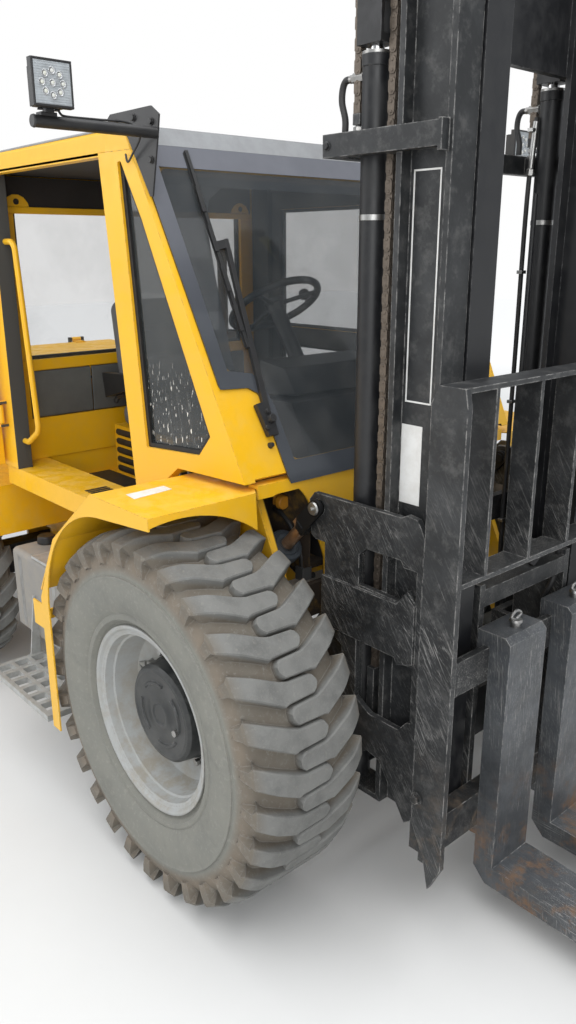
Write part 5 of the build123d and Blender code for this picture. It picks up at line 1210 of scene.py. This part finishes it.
# Tanks, hood and exhaust: straps, caps, latches, louvres, and the guard with its rings and studs
straps, caps, rear = shapes(3)
for side in (-1, 1):
    for x in (-1380, -1050, -760):
        outline = [(600, 799.5), (826, 799.5), (851, 774), (851, 426), (826, 400.5), (600, 400.5)]
        inner = [(600, 796), (824, 796), (848, 772), (848, 428), (824, 404), (600, 404)]
        straps.face([(side * y, z) for y, z in outline + inner[::-1]], x - 16, x + 16)
    caps.rod(*row(side, (-1400, 700, 799), (-1400, 700, 838)), 0.045, 24, 0.042, 0.005)
    for z in (1180, 1225):
        rear.box((-2700, -2640), (side * 590, side * 600), (z - 10, z + 10))
    rear.rod(*row(side, (-2860, 440, 1500), (-2888, 440, 1500)), 0.016, 16)
    for i in range(10):
        x = -2560 + i * 52
        rear.box((x, x + 24), (side * 589.5, side * 591.5), (1300, 1440))
straps.make("tank_straps", STEEL, "chassis", "tank_grey")
caps.make("tank_caps", PLASTIC)
rear.make("hood_latches", PLASTIC, "hood", "black_plastic", bevel=0.0015)
GUARD_RADIUS = 75.2
pipe = Shape()
pipe.hoop([(0.0, 0.0285), (0.040, 0.0310), (0.060, 0.0310), (0.060, 0.0270), (0.0, 0.0245)],
          at(EXHAUST_X, EXHAUST_Y, 2092), (0, 0, 1), 32)
for z in (1200, 1430, 1660):
    pipe.lathe([(0.0, 0.0755), (0.003, 0.0768), (0.017, 0.0768), (0.020, 0.0755)],
               at(EXHAUST_X, EXHAUST_Y, z), (0, 0, 1), 40)
for t in turns(26):
    for z in range(1250, 1587, 84):
        c = at(EXHAUST_X + GUARD_RADIUS * math.cos(t), EXHAUST_Y + GUARD_RADIUS * math.sin(t), z)
        pipe.rod(c, c + Vector((math.cos(t) * 0.002, math.sin(t) * 0.002, 0)), 0.0055, 8)
pipe.make("exhaust_guard", EXHAUST, "chassis", "exhaust_steel")

# Fork latches with their rings, carriage bolts and the hose loop across the carriage
LATCH_X, FORK_Y = 838, 178
carriage_bolts, loop = shapes(2)
for side, word in ((-1, "right"), (1, "left")):
    y = side * FORK_Y
    pins = Shape()
    pins.rod(at(LATCH_X, y, 984), at(LATCH_X, y, 1004), 0.016, 16)
    pins.rod(at(LATCH_X, y, 1003), at(LATCH_X, y, 1012), 0.022, 16, 0.020)
    eye = ((0, 1008), (-26, 1024), (0, 1040), (26, 1024), (0, 1008))
    pins.tube([at(LATCH_X, y + across, z) for across, z in eye], 0.0045, 8)
    pins.make("fork_latch_" + word, STEEL, word + "_fork", "fork_steel")
    carriage_bolts.bolts([at(815, side * 562, z) for z in (862, 350)], (1, 0, 0), 0.010, 0.009)
    carriage_bolts.bolts([at(794, side * 575, 513)], (0, side, 0), 0.016, 0.018)
carriage_bolts.make("carriage_bolts", SCUFF, "carriage_body", "paint_black")
loop.tube(row(1, (730, 60, 1100), (735, 120, 1150), (730, 210, 1140), (725, 235, 1060), (720, 215, 985),
              (700, 205, 930)),
          0.011)
loop.make("carriage_hose", RUBBER, "carriage_body", "black_plastic")


# Stage, camera and light
def floor_material():
    m = Mat("floor_pale", (0.72, 0.72, 0.71), 0.8)
    m.over(m.ramp(m.noise(2.5, 5, 0.6), 0.3, 0.7, 0.0, 0.3), (0.66, 0.66, 0.65))
    x, y = m.axis(0), m.axis(1)
    away = m.math("SQRT", m.math("ADD", m.times(x, x), m.times(y, y)))
    m.shader.inputs["Emission Color"].default_value = (1.0, 1.0, 1.0, 1.0)
    m.put(m.times(m.ramp(away, 5.0, 14.0), 0.55), m.shader.inputs["Emission Strength"])
    return m.done()


bpy.ops.mesh.primitive_plane_add(size=60, location=(0, 0, 0))
floor = bpy.context.object
floor.name = "stage_floor"
floor.data.materials.append(floor_material())

world = bpy.data.worlds.new("studio")
SCENE.world = world
world.use_nodes = True
tree = world.node_tree
sky = tree.nodes["Background"]
sky.inputs[0].default_value = (0.93, 0.96, 1.0, 1.0)
sky.inputs[1].default_value = 0.62
white = tree.nodes.new("ShaderNodeBackground")
white.inputs[0].default_value = (1.0, 1.0, 1.0, 1.0)
white.inputs[1].default_value = 1.0
path = tree.nodes.new("ShaderNodeLightPath")
pick = tree.nodes.new("ShaderNodeMixShader")
tree.links.new(path.outputs["Is Camera Ray"], pick.inputs[0])
tree.links.new(sky.outputs[0], pick.inputs[1])
tree.links.new(white.outputs[0], pick.inputs[2])
tree.links.new(pick.outputs[0], tree.nodes["World Output"].inputs[0])


def area(name, where, aim, size, power):
    d = bpy.data.lights.new(name, "AREA")
    d.shape = "RECTANGLE"
    d.size, d.size_y = size
    d.energy = power
    o = bpy.data.objects.new(name, d)
    SCENE.collection.objects.link(o)
    o.location = where
    o.rotation_euler = (Vector(aim) - Vector(where)).to_track_quat("-Z", "Y").to_euler()


area("sky_soft", (1.5, -1.5, 8.0), (0, 0, 0), (9, 9), 620)
area("front_soft", (6.5, -6.0, 4.0), (0, 0, 1.0), (5, 4), 230)
area("side_soft", (-5.5, -6.5, 4.5), (0, 0, 1.0), (5, 4), 150)

# The camera stands where the photograph was taken, at the front right corner
FOCAL_PIXELS, PICTURE_PIXELS, SENSOR = 836.0, 1024.0, 36.0
CAMERA_PLACE = Vector((2.700, -2.326, 2.134 + RISE / 1000.0))
AZIMUTH, PITCH, ROLL = math.radians(48.57), math.radians(17.50), math.radians(-0.18)
look = Vector((-math.sin(AZIMUTH) * math.cos(PITCH), math.cos(AZIMUTH) * math.cos(PITCH), -math.sin(PITCH)))
right = Vector((math.cos(AZIMUTH), math.sin(AZIMUTH), 0))
up = right.cross(look)
right, up = (right * math.cos(ROLL) + up * math.sin(ROLL), up * math.cos(ROLL) - right * math.sin(ROLL))
cam = bpy.data.cameras.new("camera")
cam.sensor_fit = "VERTICAL"
cam.sensor_height = SENSOR
cam.lens = FOCAL_PIXELS / PICTURE_PIXELS * SENSOR
cam_object = bpy.data.objects.new("camera", cam)
SCENE.collection.objects.link(cam_object)
stand = Matrix((right, up, -look)).transposed().to_4x4()
stand.translation = CAMERA_PLACE
cam_object.matrix_world = stand
SCENE.camera = cam_object
SCENE.view_settings.view_transform = "Standard"
